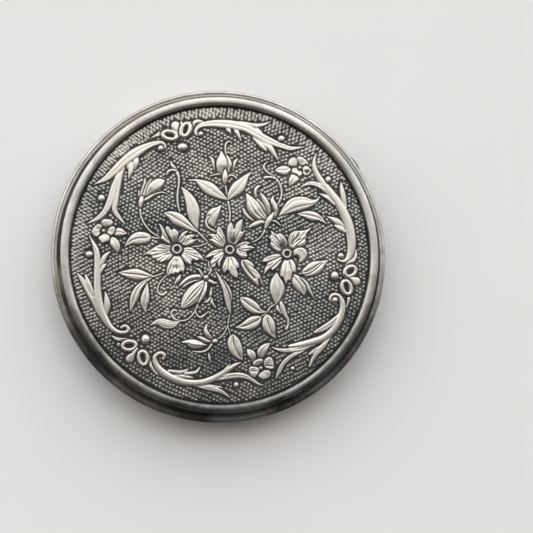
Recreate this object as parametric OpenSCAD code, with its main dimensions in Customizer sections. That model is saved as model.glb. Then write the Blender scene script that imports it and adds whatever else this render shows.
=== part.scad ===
// Round powder compact: a shallow base with a powder well, an inner powder door and a mirror lid with an
// embossed panel. +Z is up, the origin is the centre of the flat face that it rests on, the hinge is at +Y
// and the thumb-piece at -Y. Millimetres.

/* [Case] */
// Outer diameter over the lid's lip
lid_d = 85; // [80:1:92]
// Height of the closed case, from the resting face to the crest of the ring moulding
total_h = 12; // [11.8:0.1:12.6]
// Height of the joint between the base and the lid
parting_z = 6; // [5.9:0.05:6.1]
// Thickness of the sheet that the base is drawn from
sheet_t = 0.9; // [0.7:0.05:1]
// Radius of the rounded heel around the underside
heel_r = 3.4; // [2.8:0.1:3.6]

/* [Lid] */
// Section radius of the outer lip bead
lip_r = 0.8; // [0.7:0.05:0.85]
// Section radius of the polished ring moulding
ring_r = 1.05; // [0.95:0.05:1.1]
// Section radius of the cove between the moulding and the lip
cove_r = 1.55; // [1.5:0.05:1.6]
// Thickness of the embossed sheet
panel_t = 0.5; // [0.4:0.05:0.55]
// Rise of the embossed panel from its turned-down edge to its centre
panel_rise = 0.85; // [0.6:0.05:1]
// Thickness of the mirror glass
mirror_t = 1.1; // [1:0.05:1.15]
// Opening of the mirror bezel, as a radius
bezel_open_r = 34.8; // [33.5:0.1:35]

/* [Hinge and catch] */
// Radius of the hinge knuckles
knuckle_r = 0.95; // [0.9:0.05:1]
// Radius of the hinge pin
pin_r = 0.45; // [0.4:0.05:0.5]
// Running clearance between the pin and the knuckles that turn on it
running = 0.04; // [0.02:0.01:0.06]
// Length of the hinge barrel
barrel_l = 11.2; // [9:0.2:11.4]
// How far the thumb-piece stands out past the lip
thumb_out = 0.8; // [0.5:0.1:1.2]

/* [Powder and puff] */
// Inner radius of the powder well
well_r = 32.7; // [30:0.1:32.8]
// Thickness of the powder door
door_t = 0.5; // [0.4:0.05:0.5]
// Thickness of the pressed powder
cake_t = 2; // [1.5:0.1:2]
// Radius of the puff
puff_r = 29; // [24:0.5:30]
// Width of the ribbon across the puff
ribbon_w = 7; // [5:0.5:9]

/* [Hidden] */

// Smoothness of round parts, of round sections and of small cylinders
round_fn = 180;
section_fn = 48;
small_fn = 32;
// Overrun that keeps a cut from ending on a face
cut = 1;
// Clearance between parts that are only laid or soldered together
slip = 0.05;

// Case radii, from the lip inwards
rim_r = lid_d / 2;
wall_r = rim_r - 0.9;
wall_in_r = wall_r - sheet_t;
skirt_in_r = wall_r - 1.1;
collar_out_r = skirt_in_r - 0.3;
collar_in_r = collar_out_r - 0.6;

// Case heights
base_top_z = parting_z - 0.15;
lid_bottom_z = parting_z + 0.1;
collar_top_z = parting_z + 2;
collar_foot_z = heel_r;
collar_step_z = parting_z - 0.7;
ceiling_z = parting_z + 2.3;

// Lip, moulding and cove centres, as radius and height
lip_c = [rim_r - lip_r, lid_bottom_z + 1 + lip_r];
ring_c = [rim_r - 3.55, total_h - ring_r];
cove_c = [rim_r - 1.3, ring_c[1] - 0.95];
recess_r = ring_c[0] - ring_r;

// Mirror stack in the lid, from the bezel's face upwards
bezel_z = parting_z + 1.9;
mirror_z = bezel_z + 0.4;
mirror_r = bezel_open_r + 1.5;
backing_z = mirror_z + mirror_t;
backing_t = 0.3;
flange_z = backing_z + backing_t;
flange_t = 0.35;
flange_in_r = recess_r - 2.4;

// Embossed panel: edge height, radius where the edge starts to turn down, and points along the dome
seat_z = flange_z + flange_t;
edge_z = seat_z + panel_t;
panel_r = recess_r - slip;
turn_r = panel_r - 0.65;
turn_rise = 0.2;
dome_steps = 12;

// Main hinge: axis, barrel and the pocket that it sits in
hinge_y = wall_r - 0.4;
hinge_z = parting_z;
knuckles = 5;
knuckle_gap = 0.1;
knuckle_pitch = barrel_l / knuckles;
knuckle_l = knuckle_pitch - knuckle_gap;
pocket_half = barrel_l / 2 + 0.2;
pocket_low_z = hinge_z - 1.1;
pocket_high_z = lid_bottom_z + 1;
pocket_y = hinge_y - knuckle_r - 0.3;
web_y = hinge_y - 0.6;
web_w = 0.65;

// Thumb-piece: a disc that is cut by the skirt
thumb_r = 5.5;
thumb_y = -(rim_r + thumb_out - thumb_r);
thumb_low_z = lid_bottom_z + 0.1;
thumb_t = 0.85;

// Catch lug on the collar and the notch in the skirt
lug_w = 4;
lug_out = 0.25;
lug_z = parting_z + 1;
lug_h = 0.4;
notch_w = 5;
notch_h = 0.7;
notch_deep = 0.3;

// Deck, well and door
deck_top_z = parting_z + 0.6;
deck_t = 0.4;
deck_leg_r = rim_r - 4.4;
deck_leg_t = 0.5;
well_t = 0.5;
well_floor_t = 0.4;
deck_in_r = well_r + well_t + slip;
pan_t = 0.3;
pan_h = 2.1;
pan_z = sheet_t + well_floor_t;
pan_r = well_r - 0.2;
cake_z = pan_z + pan_t;
puff_z = cake_z + cake_t;
puff_pad_t = 1.9;
puff_edge = 0.8;
cap_z = puff_z + puff_pad_t;
cap_t = 0.6;
cap_edge = 0.3;
cap_r = puff_r - 0.8;
ribbon_z = cap_z + cap_t;
ribbon_t = 0.3;
door_z = deck_top_z + 0.3;
door_r = well_r + 1.5;
door_chord_y = door_r - 0.3;
door_axis_y = door_r + 0.7;
door_axis_z = door_z + door_t / 2;
door_knuckle_r = 0.5;
door_pin_r = 0.22;
door_leaf_l = 6;
door_ear_l = 3;
door_ear_x = door_leaf_l / 2 + 0.1;
door_pin_l = 2 * (door_ear_x + door_ear_l);
tab_r = 3.2;
tab_t = 0.35;
tab_y = -(door_r - 3.4);

// Ring between two radii and two heights
module band(r_out, r_in, low, high) {
    rotate_extrude($fn = round_fn)
        translate([r_in, low])
            square([r_out - r_in, high - low]);
}

// Disc with its rim rounded over at the top
module soft_disc(r, low, t, edge) {
    rotate_extrude($fn = round_fn) {
        translate([0, low])
            square([r - edge, t]);
        translate([0, low])
            square([r, t - edge]);
        translate([r - edge, low + t - edge])
            circle(r = edge, $fn = section_fn);
    }
}

// Cylinder lying along X
module barrel(x, y, z, r, l) {
    translate([x, y, z])
        rotate([0, 90, 0])
            cylinder(r = r, h = l, $fn = small_fn);
}

// Start of one of the main hinge's knuckles, counted from -X
function knuckle_x(i) = -barrel_l / 2 + i * knuckle_pitch + knuckle_gap / 2;

// One main knuckle with a web that reaches from the axis to the height web_z
module knuckle(i, web_z, bore_r) {
    low = min(web_z, hinge_z);
    high = max(web_z, hinge_z);
    difference() {
        union() {
            barrel(knuckle_x(i), hinge_y, hinge_z, knuckle_r, knuckle_l);
            translate([knuckle_x(i), web_y, low])
                cube([knuckle_l, web_w, high - low]);
        }
        barrel(knuckle_x(i) - cut, hinge_y, hinge_z, bore_r, knuckle_l + 2 * cut);
    }
}

// Base: drawn shell with a flat floor and a rounded heel
module shell_section(r, low, corner) {
    translate([0, low])
        square([r - corner, heel_r]);
    translate([r - corner, low + corner])
        intersection() {
            circle(r = corner, $fn = section_fn);
            translate([0, -corner])
                square([corner, corner]);
        }
    translate([0, heel_r])
        square([r, total_h]);
}

module base_shell() {
    color("#7d7974")
        difference() {
            rotate_extrude($fn = round_fn)
                intersection() {
                    difference() {
                        shell_section(wall_r, 0, heel_r);
                        shell_section(wall_in_r, sheet_t, heel_r - sheet_t);
                    }
                    square([wall_r + cut, base_top_z]);
                }
            translate([-pocket_half, pocket_y, pocket_low_z])
                cube([2 * pocket_half, rim_r - pocket_y, total_h]);
        }
}

module base_collar() {
    color("#c9c2b4")
        difference() {
            union() {
                band(wall_in_r, collar_in_r, collar_foot_z, collar_step_z);
                band(collar_out_r, collar_in_r, collar_step_z, collar_top_z);
            }
            translate([-pocket_half, pocket_y, pocket_low_z])
                cube([2 * pocket_half, rim_r - pocket_y, total_h]);
        }
}

// Deck that stands on the base's floor and frames the powder well
module inner_deck() {
    color("#cdbf97") {
        rotate_extrude($fn = round_fn) {
            translate([deck_in_r, deck_top_z - deck_t])
                square([collar_in_r - slip - deck_in_r, deck_t]);
            translate([deck_leg_r - deck_leg_t, sheet_t])
                square([deck_leg_t, deck_top_z - sheet_t]);
        }
    }
}

module powder_well() {
    color("#cdbf97")
        difference() {
            cylinder_at(well_r + well_t, sheet_t, deck_top_z);
            cylinder_at(well_r, pan_z, deck_top_z + cut);
        }
}

module cylinder_at(r, low, high) {
    translate([0, 0, low])
        cylinder(r = r, h = high - low, $fn = round_fn);
}

// Pressed powder in its thin metal pan
module powder_pan() {
    color("#b9b4a6")
        difference() {
            cylinder_at(pan_r, pan_z, pan_z + pan_h);
            cylinder_at(pan_r - pan_t, cake_z, pan_z + pan_h + cut);
        }
}

module powder_cake() {
    color("#e2b79b")
        soft_disc(pan_r - pan_t - slip, cake_z, cake_t, 0.25);
}

// Puff: velour pad, satin cap and the ribbon that it is held by
module puff_pad() {
    color("#ead9cb")
        soft_disc(puff_r, puff_z, puff_pad_t, puff_edge);
}

module puff_cap() {
    color("#e6cfc9")
        soft_disc(cap_r, cap_z, cap_t, cap_edge);
}

module puff_ribbon() {
    color("#d9b3ad")
        intersection() {
            cylinder_at(cap_r - cap_edge, ribbon_z, ribbon_z + ribbon_t);
            translate([-cap_r, -ribbon_w / 2, ribbon_z])
                cube([2 * cap_r, ribbon_w, ribbon_t]);
        }
}

module catch_lug() {
    color("#c9c2b4")
        intersection() {
            band(collar_out_r + lug_out, collar_out_r, lug_z, lug_z + lug_h);
            translate([-lug_w / 2, -rim_r, lug_z])
                cube([lug_w, rim_r, lug_h]);
        }
}

// Main hinge: the outer and middle knuckles stand on the base, the two between them hang from the lid
module base_hinge_knuckles() {
    color("#8a857e")
        for (i = [0:2:knuckles - 1])
            knuckle(i, pocket_low_z, pin_r + 0.01);
}

module lid_hinge_knuckles() {
    color("#8a857e")
        for (i = [1:2:knuckles - 1])
            knuckle(i, pocket_high_z, pin_r + running);
}

module hinge_pin() {
    color("#6d6a66")
        barrel(-barrel_l / 2, hinge_y, hinge_z, pin_r, barrel_l);
}

// Door hinge: two ears on the deck, one knuckle on the door and a wire pin
module door_hinge_brackets() {
    color("#cdbf97")
        for (x = [-door_ear_x - door_ear_l, door_ear_x])
            difference() {
                union() {
                    barrel(x, door_axis_y, door_axis_z, door_knuckle_r, door_ear_l);
                    translate([x, door_axis_y - 0.3, deck_top_z])
                        cube([door_ear_l, 0.6, door_axis_z - deck_top_z]);
                    translate([x, door_axis_y - 0.3, deck_top_z])
                        cube([door_ear_l, 1.6, 0.25]);
                }
                barrel(x - cut, door_axis_y, door_axis_z, door_pin_r + 0.01, door_ear_l + 2 * cut);
            }
}

module door_hinge_pin() {
    color("#a9a294")
        barrel(-door_pin_l / 2, door_axis_y, door_axis_z, door_pin_r, door_pin_l);
}

module door_hinge_knuckle() {
    color("#cdbf97")
        difference() {
            union() {
                barrel(-door_leaf_l / 2, door_axis_y, door_axis_z, door_knuckle_r, door_leaf_l);
                translate([-door_leaf_l / 2, door_chord_y, door_z])
                    cube([door_leaf_l, door_axis_y - door_chord_y, door_t]);
            }
            barrel(-door_leaf_l / 2 - cut, door_axis_y, door_axis_z, door_pin_r + running,
                door_leaf_l + 2 * cut);
        }
}

module door_plate() {
    color("#d4c69c")
        difference() {
            cylinder_at(door_r, door_z, door_z + door_t);
            translate([-door_r, door_chord_y, door_z - cut])
                cube([2 * door_r, door_r, door_t + 2 * cut]);
        }
}

module door_tab() {
    color("#d4c69c")
        intersection() {
            translate([0, tab_y, door_z + door_t])
                cylinder(r = tab_r, h = tab_t, $fn = round_fn);
            translate([-tab_r, tab_y - tab_r, door_z + door_t])
                cube([2 * tab_r, tab_r, tab_t]);
        }
}

// Lid frame: skirt, lip bead, cove, ring moulding and the flange that the panel lies on
module lid_section() {
    difference() {
        translate([recess_r, ceiling_z])
            square([wall_r - recess_r, ring_c[1] - ceiling_z]);
        translate(cove_c)
            circle(r = cove_r, $fn = section_fn);
    }
    translate([skirt_in_r, lid_bottom_z])
        square([wall_r - skirt_in_r, ceiling_z + 0.1 - lid_bottom_z]);
    translate(lip_c)
        circle(r = lip_r, $fn = section_fn);
    translate(ring_c)
        circle(r = ring_r, $fn = section_fn);
    translate([flange_in_r, flange_z])
        square([recess_r + ring_r - flange_in_r, flange_t]);
}

module lid_frame() {
    color("#8f8b86")
        difference() {
            rotate_extrude($fn = round_fn)
                lid_section();
            translate([-pocket_half, pocket_y, lid_bottom_z - cut])
                cube([2 * pocket_half, rim_r - pocket_y, pocket_high_z - lid_bottom_z + cut]);
            translate([-notch_w / 2, -(skirt_in_r + notch_deep), lug_z - (notch_h - lug_h) / 2])
                cube([notch_w, skirt_in_r, notch_h]);
        }
}

// Height of the panel's upper face at a radius inside the turned-down edge
function dome_z(r) = edge_z + turn_rise + (panel_rise - turn_rise) * (1 - pow(r / turn_r, 2));

module panel_section() {
    dome = [for (i = [0:dome_steps]) turn_r * i / dome_steps];
    seat_in_r = turn_r - 1;
    polygon(concat(
        [for (r = dome) [r, dome_z(r)]],
        [[turn_r + 0.4, edge_z + 0.12], [panel_r, edge_z], [panel_r, seat_z], [seat_in_r, seat_z]],
        [for (i = [dome_steps - 1:-1:0]) [dome[i] * seat_in_r / turn_r, dome_z(dome[i]) - panel_t]]
    ));
}

module embossed_panel() {
    color("#a39d94")
        rotate_extrude($fn = round_fn)
            panel_section();
}

// Mirror stack: bezel, glass and card
module mirror_bezel() {
    color("#cdbf97") {
        rotate_extrude($fn = round_fn) {
            translate([bezel_open_r, bezel_z])
                square([recess_r - slip - bezel_open_r, mirror_z - bezel_z]);
            translate([mirror_r + slip, bezel_z])
                square([recess_r - mirror_r - 2 * slip, flange_z - bezel_z]);
        }
    }
}

module mirror_glass() {
    color("#c8d2d6")
        cylinder_at(mirror_r, mirror_z, mirror_z + mirror_t);
}

module mirror_backing() {
    color("#7a6a55")
        cylinder_at(mirror_r, backing_z, backing_z + backing_t);
}

module thumb_piece() {
    color("#8f8b86")
        difference() {
            translate([0, thumb_y, thumb_low_z])
                cylinder(r = thumb_r, h = thumb_t, $fn = round_fn);
            cylinder_at(wall_r + 0.02, thumb_low_z - cut, thumb_low_z + thumb_t + cut);
        }
}

base_shell();
base_collar();
inner_deck();
powder_well();
powder_pan();
powder_cake();
puff_pad();
puff_cap();
puff_ribbon();
catch_lug();
base_hinge_knuckles();
hinge_pin();
door_hinge_brackets();
door_hinge_pin();
lid_frame();
embossed_panel();
mirror_backing();
mirror_glass();
mirror_bezel();
lid_hinge_knuckles();
thumb_piece();
door_plate();
door_hinge_knuckle();
door_tab();
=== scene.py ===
import math

import bmesh
import bpy
import numpy as np
from mathutils import Matrix, Vector


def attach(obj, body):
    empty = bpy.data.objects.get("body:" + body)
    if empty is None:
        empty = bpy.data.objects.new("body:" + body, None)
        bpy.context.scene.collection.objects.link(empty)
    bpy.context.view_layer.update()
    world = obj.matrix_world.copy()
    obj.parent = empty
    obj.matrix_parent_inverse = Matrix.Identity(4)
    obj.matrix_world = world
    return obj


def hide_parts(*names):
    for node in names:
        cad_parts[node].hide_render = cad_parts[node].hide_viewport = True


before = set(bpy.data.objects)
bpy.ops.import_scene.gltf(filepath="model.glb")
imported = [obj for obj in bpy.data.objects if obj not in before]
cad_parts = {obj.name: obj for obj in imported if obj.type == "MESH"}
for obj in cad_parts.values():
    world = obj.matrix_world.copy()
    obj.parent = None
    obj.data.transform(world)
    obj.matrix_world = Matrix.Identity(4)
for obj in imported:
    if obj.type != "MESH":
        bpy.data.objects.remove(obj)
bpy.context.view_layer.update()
MM = 0.001
SEED = 11
# Where the picture's top lies in the frame. Its right is a quarter turn from it.
UP_X, UP_Y = 0.819, -0.574


# ---------------------------------------------------------------- materials
class Nodes:
    """Short names for building one procedural material."""

    def __init__(self, name):
        self.material = bpy.data.materials.new(name)
        self.material.use_nodes = True
        self.tree = self.material.node_tree
        self.shader = self.tree.nodes["Principled BSDF"]
        self.place = self.node("ShaderNodeTexCoord").outputs["Object"]

    def node(self, kind, **values):
        n = self.tree.nodes.new(kind)
        for key, value in values.items():
            setattr(n, key, value)
        return n

    def feed(self, socket, value):
        if isinstance(value, bpy.types.NodeSocket):
            self.tree.links.new(value, socket)
        else:
            socket.default_value = value

    def noise(self, scale, detail, rough=0.55, warp=0.0, place=None):
        n = self.node("ShaderNodeTexNoise")
        self.feed(n.inputs["Vector"], self.place if place is None else place)
        n.inputs["Scale"].default_value = scale
        n.inputs["Detail"].default_value = detail
        n.inputs["Roughness"].default_value = rough
        n.inputs["Distortion"].default_value = warp
        return n.outputs["Fac"]

    def stretch(self, x, y, z):
        n = self.node("ShaderNodeMapping")
        self.feed(n.inputs["Vector"], self.place)
        n.inputs["Scale"].default_value = (x, y, z)
        return n.outputs["Vector"]

    def math(self, kind, a, b=0.0, clamp=False):
        n = self.node("ShaderNodeMath", operation=kind, use_clamp=clamp)
        self.feed(n.inputs[0], a)
        self.feed(n.inputs[1], b)
        return n.outputs[0]

    def spread(self, value, low, high, to_low=0.0, to_high=1.0):
        n = self.node("ShaderNodeMapRange", clamp=True)
        self.feed(n.inputs["Value"], value)
        for key, number in (("From Min", low), ("From Max", high), ("To Min", to_low), ("To Max", to_high)):
            n.inputs[key].default_value = number
        return n.outputs["Result"]

    def mix(self, share, a, b):
        n = self.node("ShaderNodeMix", data_type="RGBA")
        self.feed(n.inputs["Factor"], share)
        for socket, colour in ((n.inputs[6], a), (n.inputs[7], b)):
            self.feed(socket, colour if isinstance(colour, bpy.types.NodeSocket) else (*colour, 1.0))
        return n.outputs[2]

    def attribute(self, name):
        return self.node("ShaderNodeAttribute", attribute_name=name).outputs["Fac"]

    def radius(self):
        parts = self.node("ShaderNodeSeparateXYZ")
        self.feed(parts.inputs[0], self.place)
        xx = self.math("MULTIPLY", parts.outputs[0], parts.outputs[0])
        yy = self.math("MULTIPLY", parts.outputs[1], parts.outputs[1])
        return self.math("SQRT", self.math("ADD", xx, yy))

    def bump(self, value, mm, share):
        n = self.node("ShaderNodeBump")
        n.inputs["Strength"].default_value = share
        n.inputs["Distance"].default_value = mm * MM
        self.feed(n.inputs["Height"], value)
        self.feed(self.shader.inputs["Normal"], n.outputs["Normal"])

    def set(self, **values):
        for key, value in values.items():
            socket = self.shader.inputs[key.replace("_", " ")]
            if isinstance(value, tuple):
                value = (*value, 1.0)
            self.feed(socket, value)
        return self.material


def relief_silver():
    """Embossed silver: bright on the high places, dark patina in the recesses."""
    n = Nodes("embossed_silver")
    polish = n.attribute("polish")
    cloud = n.noise(90, 4)
    speck = n.noise(900, 3, 0.6)
    worn = n.math("ADD", polish, n.spread(cloud, 0.3, 0.7, -0.17, 0.15))
    worn = n.math("ADD", worn, n.spread(speck, 0.3, 0.7, -0.07, 0.07), clamp=True)
    tint = n.mix(n.spread(cloud, 0.35, 0.65), (0.038, 0.043, 0.044), (0.062, 0.058, 0.053))
    cast = n.mix(n.spread(n.noise(48, 2, 0.5, 0.3), 0.38, 0.62), (0.205, 0.217, 0.216), (0.255, 0.238, 0.212))
    mid = n.mix(n.spread(worn, 0.0, 0.5), tint, cast)
    colour = n.mix(n.spread(worn, 0.35, 0.9), mid, (0.72, 0.69, 0.64))
    n.bump(n.noise(1400, 2, 0.5), 0.02, 0.25)
    metal = n.spread(worn, 0.0, 0.5, 0.55, 1.0)
    return n.set(Base_Color=colour, Metallic=metal, Roughness=n.spread(worn, 0.1, 0.95, 0.6, 0.44))


def case_silver(name="oxidised_silver", base=None):
    """Tarnished case silver, rubbed bright where "polish" is high, or evenly polished by base."""
    n = Nodes(name)
    if base is None:
        polish = n.attribute("polish")
    else:
        polish = n.spread(n.noise(60, 2), 0.0, 1.0, base - 0.05, base + 0.05)
    cloud = n.noise(70, 5, 0.6, 0.4)
    smear = n.noise(260, 4, 0.6, 0.8)
    worn = n.math("ADD", polish, n.spread(cloud, 0.32, 0.68, -0.22, 0.2))
    worn = n.math("ADD", worn, n.spread(smear, 0.3, 0.7, -0.10, 0.10), clamp=True)
    dark = n.mix(n.spread(smear, 0.3, 0.7), (0.030, 0.029, 0.028), (0.065, 0.061, 0.056))
    mid = n.mix(n.spread(worn, 0.0, 0.55), dark, (0.295, 0.288, 0.272))
    colour = n.mix(n.spread(worn, 0.4, 0.9), mid, (0.72, 0.702, 0.665))
    stain = n.spread(n.noise(75, 4, 0.6, 0.4), 0.46, 0.62, 0.0, 0.5)
    cast = n.mix(n.spread(n.noise(31, 2), 0.48, 0.58), (0.22, 0.27, 0.265), (0.31, 0.27, 0.225))
    colour = n.mix(stain, colour, cast)
    n.bump(n.noise(700, 3, 0.6), 0.015, 0.25)
    metal = n.spread(worn, 0.0, 0.4, 0.7, 1.0)
    return n.set(Base_Color=colour, Metallic=metal, Roughness=n.spread(worn, 0.05, 0.95, 0.54, 0.46))


def gilt(name="gilt_brass", spun=True):
    """Worn gilding, with the fine rings of a spun sheet if wanted."""
    n = Nodes(name)
    shade, groove_pitch = (0.83, 0.62, 0.30), 0.28
    cloud = n.noise(85, 4, 0.6, 0.3)
    fine = n.noise(700, 3)
    worn = tuple(c * 0.72 + 0.08 for c in shade)
    colour = n.mix(n.spread(cloud, 0.35, 0.7), shade, worn)
    colour = n.mix(n.spread(fine, 0.55, 0.75, 0.0, 0.35), colour, (0.42, 0.30, 0.15))
    if spun:
        wave = n.math("SINE", n.math("MULTIPLY", n.radius(), 2 * math.pi / (groove_pitch * MM)))
        grain = n.math("ADD", n.math("MULTIPLY", wave, 0.5), fine)
        n.bump(grain, 0.012, 0.3)
    else:
        n.bump(fine, 0.02, 0.3)
    return n.set(Base_Color=colour, Metallic=1.0, Roughness=n.spread(cloud, 0.3, 0.7, 0.26, 0.42))


def tinned():
    """Dull grey of tinned steel."""
    n = Nodes("tinned_steel")
    cloud = n.noise(120, 4)
    colour = n.mix(n.spread(cloud, 0.3, 0.7), (0.58, 0.56, 0.52), (0.40, 0.385, 0.36))
    n.bump(n.noise(900, 3), 0.02, 0.3)
    return n.set(Base_Color=colour, Metallic=1.0, Roughness=n.spread(cloud, 0.3, 0.7, 0.3, 0.48))


def bright_silver():
    """Silver of the inside, less tarnished than the case."""
    n = Nodes("bright_silver")
    cloud = n.noise(80, 4, 0.6, 0.5)
    colour = n.mix(n.spread(cloud, 0.35, 0.7), (0.80, 0.77, 0.70), (0.50, 0.46, 0.40))
    n.bump(n.noise(1200, 2), 0.01, 0.25)
    return n.set(Base_Color=colour, Metallic=1.0, Roughness=n.spread(cloud, 0.3, 0.7, 0.22, 0.38))


def mirror_silvering():
    """Old mirror: clear, with foxing near its edge."""
    n = Nodes("mirror")
    edge = n.spread(n.radius(), 31.0 * MM, 35.0 * MM)
    spots = n.math("MULTIPLY", n.spread(n.noise(420, 5, 0.65), 0.56, 0.68), edge)
    haze = n.noise(40, 3)
    colour = n.mix(spots, (0.87, 0.89, 0.88), (0.24, 0.20, 0.15))
    rough = n.math("ADD", n.spread(haze, 0.4, 0.8, 0.015, 0.05), n.math("MULTIPLY", spots, 0.4))
    return n.set(Base_Color=colour, Metallic=1.0, Roughness=rough)


def card():
    n = Nodes("card")
    fibre = n.noise(1, 4, 0.6, 0.0, n.stretch(900, 2600, 900))
    colour = n.mix(n.spread(fibre, 0.3, 0.7), (0.30, 0.24, 0.18), (0.42, 0.35, 0.27))
    n.bump(fibre, 0.03, 0.5)
    return n.set(Base_Color=colour, Roughness=n.spread(fibre, 0.3, 0.7, 0.82, 0.95))


def pressed_powder():
    n = Nodes("pressed_powder")
    grain = n.noise(2200, 3, 0.7)
    cloud = n.noise(70, 4)
    crumb = n.noise(420, 4, 0.7)
    colour = n.mix(n.spread(cloud, 0.3, 0.7), (0.80, 0.56, 0.43), (0.86, 0.65, 0.52))
    colour = n.mix(n.spread(crumb, 0.55, 0.75, 0.0, 0.4), colour, (0.92, 0.76, 0.65))
    n.bump(n.math("ADD", n.math("MULTIPLY", grain, 0.4), crumb), 0.06, 0.6)
    return n.set(Base_Color=colour, Roughness=n.spread(grain, 0.3, 0.7, 0.88, 0.98))


def velour():
    """Short cotton pile."""
    n = Nodes("puff_velour")
    tuft = n.noise(2600, 3, 0.7)
    patch = n.noise(160, 4, 0.6, 0.6)
    colour = n.mix(n.spread(tuft, 0.3, 0.7), (0.74, 0.61, 0.52), (0.90, 0.80, 0.72))
    colour = n.mix(n.spread(patch, 0.55, 0.8, 0.0, 0.45), colour, (0.84, 0.63, 0.50))
    n.bump(tuft, 0.12, 0.9)
    rough = n.spread(patch, 0.3, 0.7, 0.85, 0.97)
    return n.set(Base_Color=colour, Roughness=rough, Sheen_Weight=0.6, Sheen_Roughness=0.4)


def satin(name, thread, shadow):
    """Woven satin: long floats along X with fine cross threads."""
    n = Nodes(name)
    across = n.noise(1, 2, 0.5, 0.0, n.stretch(500, 9000, 500))
    along = n.noise(1, 2, 0.5, 0.0, n.stretch(5200, 900, 500))
    weave = n.math("ADD", across, n.math("MULTIPLY", along, 0.5))
    cloud = n.noise(110, 3)
    colour = n.mix(n.spread(weave, 0.55, 0.95), shadow, thread)
    colour = n.mix(n.spread(cloud, 0.45, 0.8, 0.0, 0.3), colour, tuple(c * 0.8 for c in thread))
    # Painted shade in the folds, plus darker stitches and selvedges, read from the fold attribute.
    fold = n.attribute("fold")
    colour = n.mix(n.spread(fold, 0.0, 1.0, 0.0, 0.75), colour, tuple(c * 0.6 for c in shadow))
    n.bump(weave, 0.03, 0.5)
    return n.set(Base_Color=colour, Roughness=n.spread(weave, 0.5, 1.0, 0.32, 0.5), Sheen_Weight=0.35)


PATINA = relief_silver()
CASE = case_silver()
CASE_PLAIN = case_silver("oxidised_plain", 0.42)
GILT = gilt()
GILT_PLAIN = gilt("gilt_plain", spun=False)
TINNED = tinned()
BRIGHT = bright_silver()
MIRROR = mirror_silvering()
CARD = card()
POWDER = pressed_powder()
VELOUR = velour()
SATIN = satin("puff_satin", (0.86, 0.70, 0.66), (0.70, 0.52, 0.48))
RIBBON = satin("puff_ribbon", (0.78, 0.52, 0.50), (0.58, 0.34, 0.33))


# ---------------------------------------------------------------- meshes
def mesh_piece(name, points, faces, material, body):
    """A smooth piece from millimetre points, and faces as one array or as lists of any length."""
    me = bpy.data.meshes.new(name)
    points = np.asarray(points, np.float32) * MM
    if isinstance(faces, np.ndarray):
        sides = faces.shape[1]
        me.vertices.add(len(points))
        me.vertices.foreach_set("co", points.ravel())
        me.loops.add(faces.size)
        me.loops.foreach_set("vertex_index", faces.ravel().astype(np.int32))
        me.polygons.add(len(faces))
        me.polygons.foreach_set("loop_start", np.arange(0, faces.size, sides, dtype=np.int32))
        me.update(calc_edges=True)
    else:
        me.from_pydata([tuple(p) for p in points.tolist()], [], faces)
        me.update()
    me.polygons.foreach_set("use_smooth", np.ones(len(me.polygons), bool))
    ob = bpy.data.objects.new(name, me)
    bpy.context.scene.collection.objects.link(ob)
    ob.data.materials.append(material)
    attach(ob, body)
    return ob


def point_values(ob, name, values):
    """Stores one number for each point, for a material to read."""
    layer = ob.data.attributes.new(name, "FLOAT", "POINT")
    layer.data.foreach_set("value", np.asarray(values, np.float32))


def arc(cr, cz, radius, start, end, count):
    """Points round a circle in the (radius, height) plane, angles in degrees."""
    a = np.radians(np.linspace(start, end, count))
    return [(cr + radius * math.cos(t), cz + radius * math.sin(t)) for t in a]


def soften(outline, radius, count=3):
    """Rounds the corners of a closed (radius, height) outline that turn by more than a few degrees."""
    least = 25
    p = np.array(outline, float)
    out = []
    for before, here, after in zip(np.roll(p, 1, 0), p, np.roll(p, -1, 0)):
        a, b = before - here, after - here
        la, lb = np.linalg.norm(a), np.linalg.norm(b)
        turn = 180 - math.degrees(math.acos(np.clip(a @ b / (la * lb), -1, 1)))
        if turn < least or here[0] < 1e-6:
            out.append(tuple(here))
            continue
        reach = min(radius, la * 0.45, lb * 0.45)
        start, end = here + a / la * reach, here + b / lb * reach
        for t in np.linspace(0, 1, count + 1):
            out.append(tuple((1 - t) ** 2 * start + 2 * t * (1 - t) * here + t**2 * end))
    return out


def lathe(name, outline, material, body, around):
    """Turns a closed (radius, height) outline round Z. A point at radius 0 closes to a pole."""
    outline = [(max(r, 0.0), z) for r, z in outline]
    turns = np.linspace(0, 2 * math.pi, around, endpoint=False)
    points, rings = [], []
    for r, z in outline:
        start = len(points)
        if r < 1e-6:
            points.append((0, 0, z))
            rings.append([start] * around)
        else:
            points.extend((r * math.cos(t), r * math.sin(t), z) for t in turns)
            rings.append(list(range(start, start + around)))
    faces = []
    for a, b in zip(rings, rings[1:] + rings[:1]):
        for k in range(around):
            j = (k + 1) % around
            face = [a[k], a[j], b[j], b[k]]
            face = [x for i, x in enumerate(face) if x not in face[:i]]
            if len(face) > 2:
                faces.append(face)
    return mesh_piece(name, points, faces, material, body)


def box_part(low, high):
    """Points and faces of a box between two corners."""
    x, y, z = zip(low, high)
    points = [(x[i], y[j], z[k]) for i in (0, 1) for j in (0, 1) for k in (0, 1)]
    faces = [(0, 1, 3, 2), (4, 6, 7, 5), (0, 4, 5, 1), (2, 3, 7, 6), (0, 2, 6, 4), (1, 5, 7, 3)]
    return points, faces


def cut_box(ob, low, high):
    """Cuts a box, in millimetres, out of a piece."""
    points, faces = box_part(low, high)
    me = bpy.data.meshes.new("cutter")
    me.from_pydata([tuple(c * MM for c in point) for point in points], [], faces)
    cutter = bpy.data.objects.new("cutter", me)
    bpy.context.scene.collection.objects.link(cutter)
    m = ob.modifiers.new("cut", "BOOLEAN")
    m.operation = "DIFFERENCE"
    m.solver = "EXACT"
    m.object = cutter
    apply_modifiers(ob)
    bpy.data.objects.remove(cutter)


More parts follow.
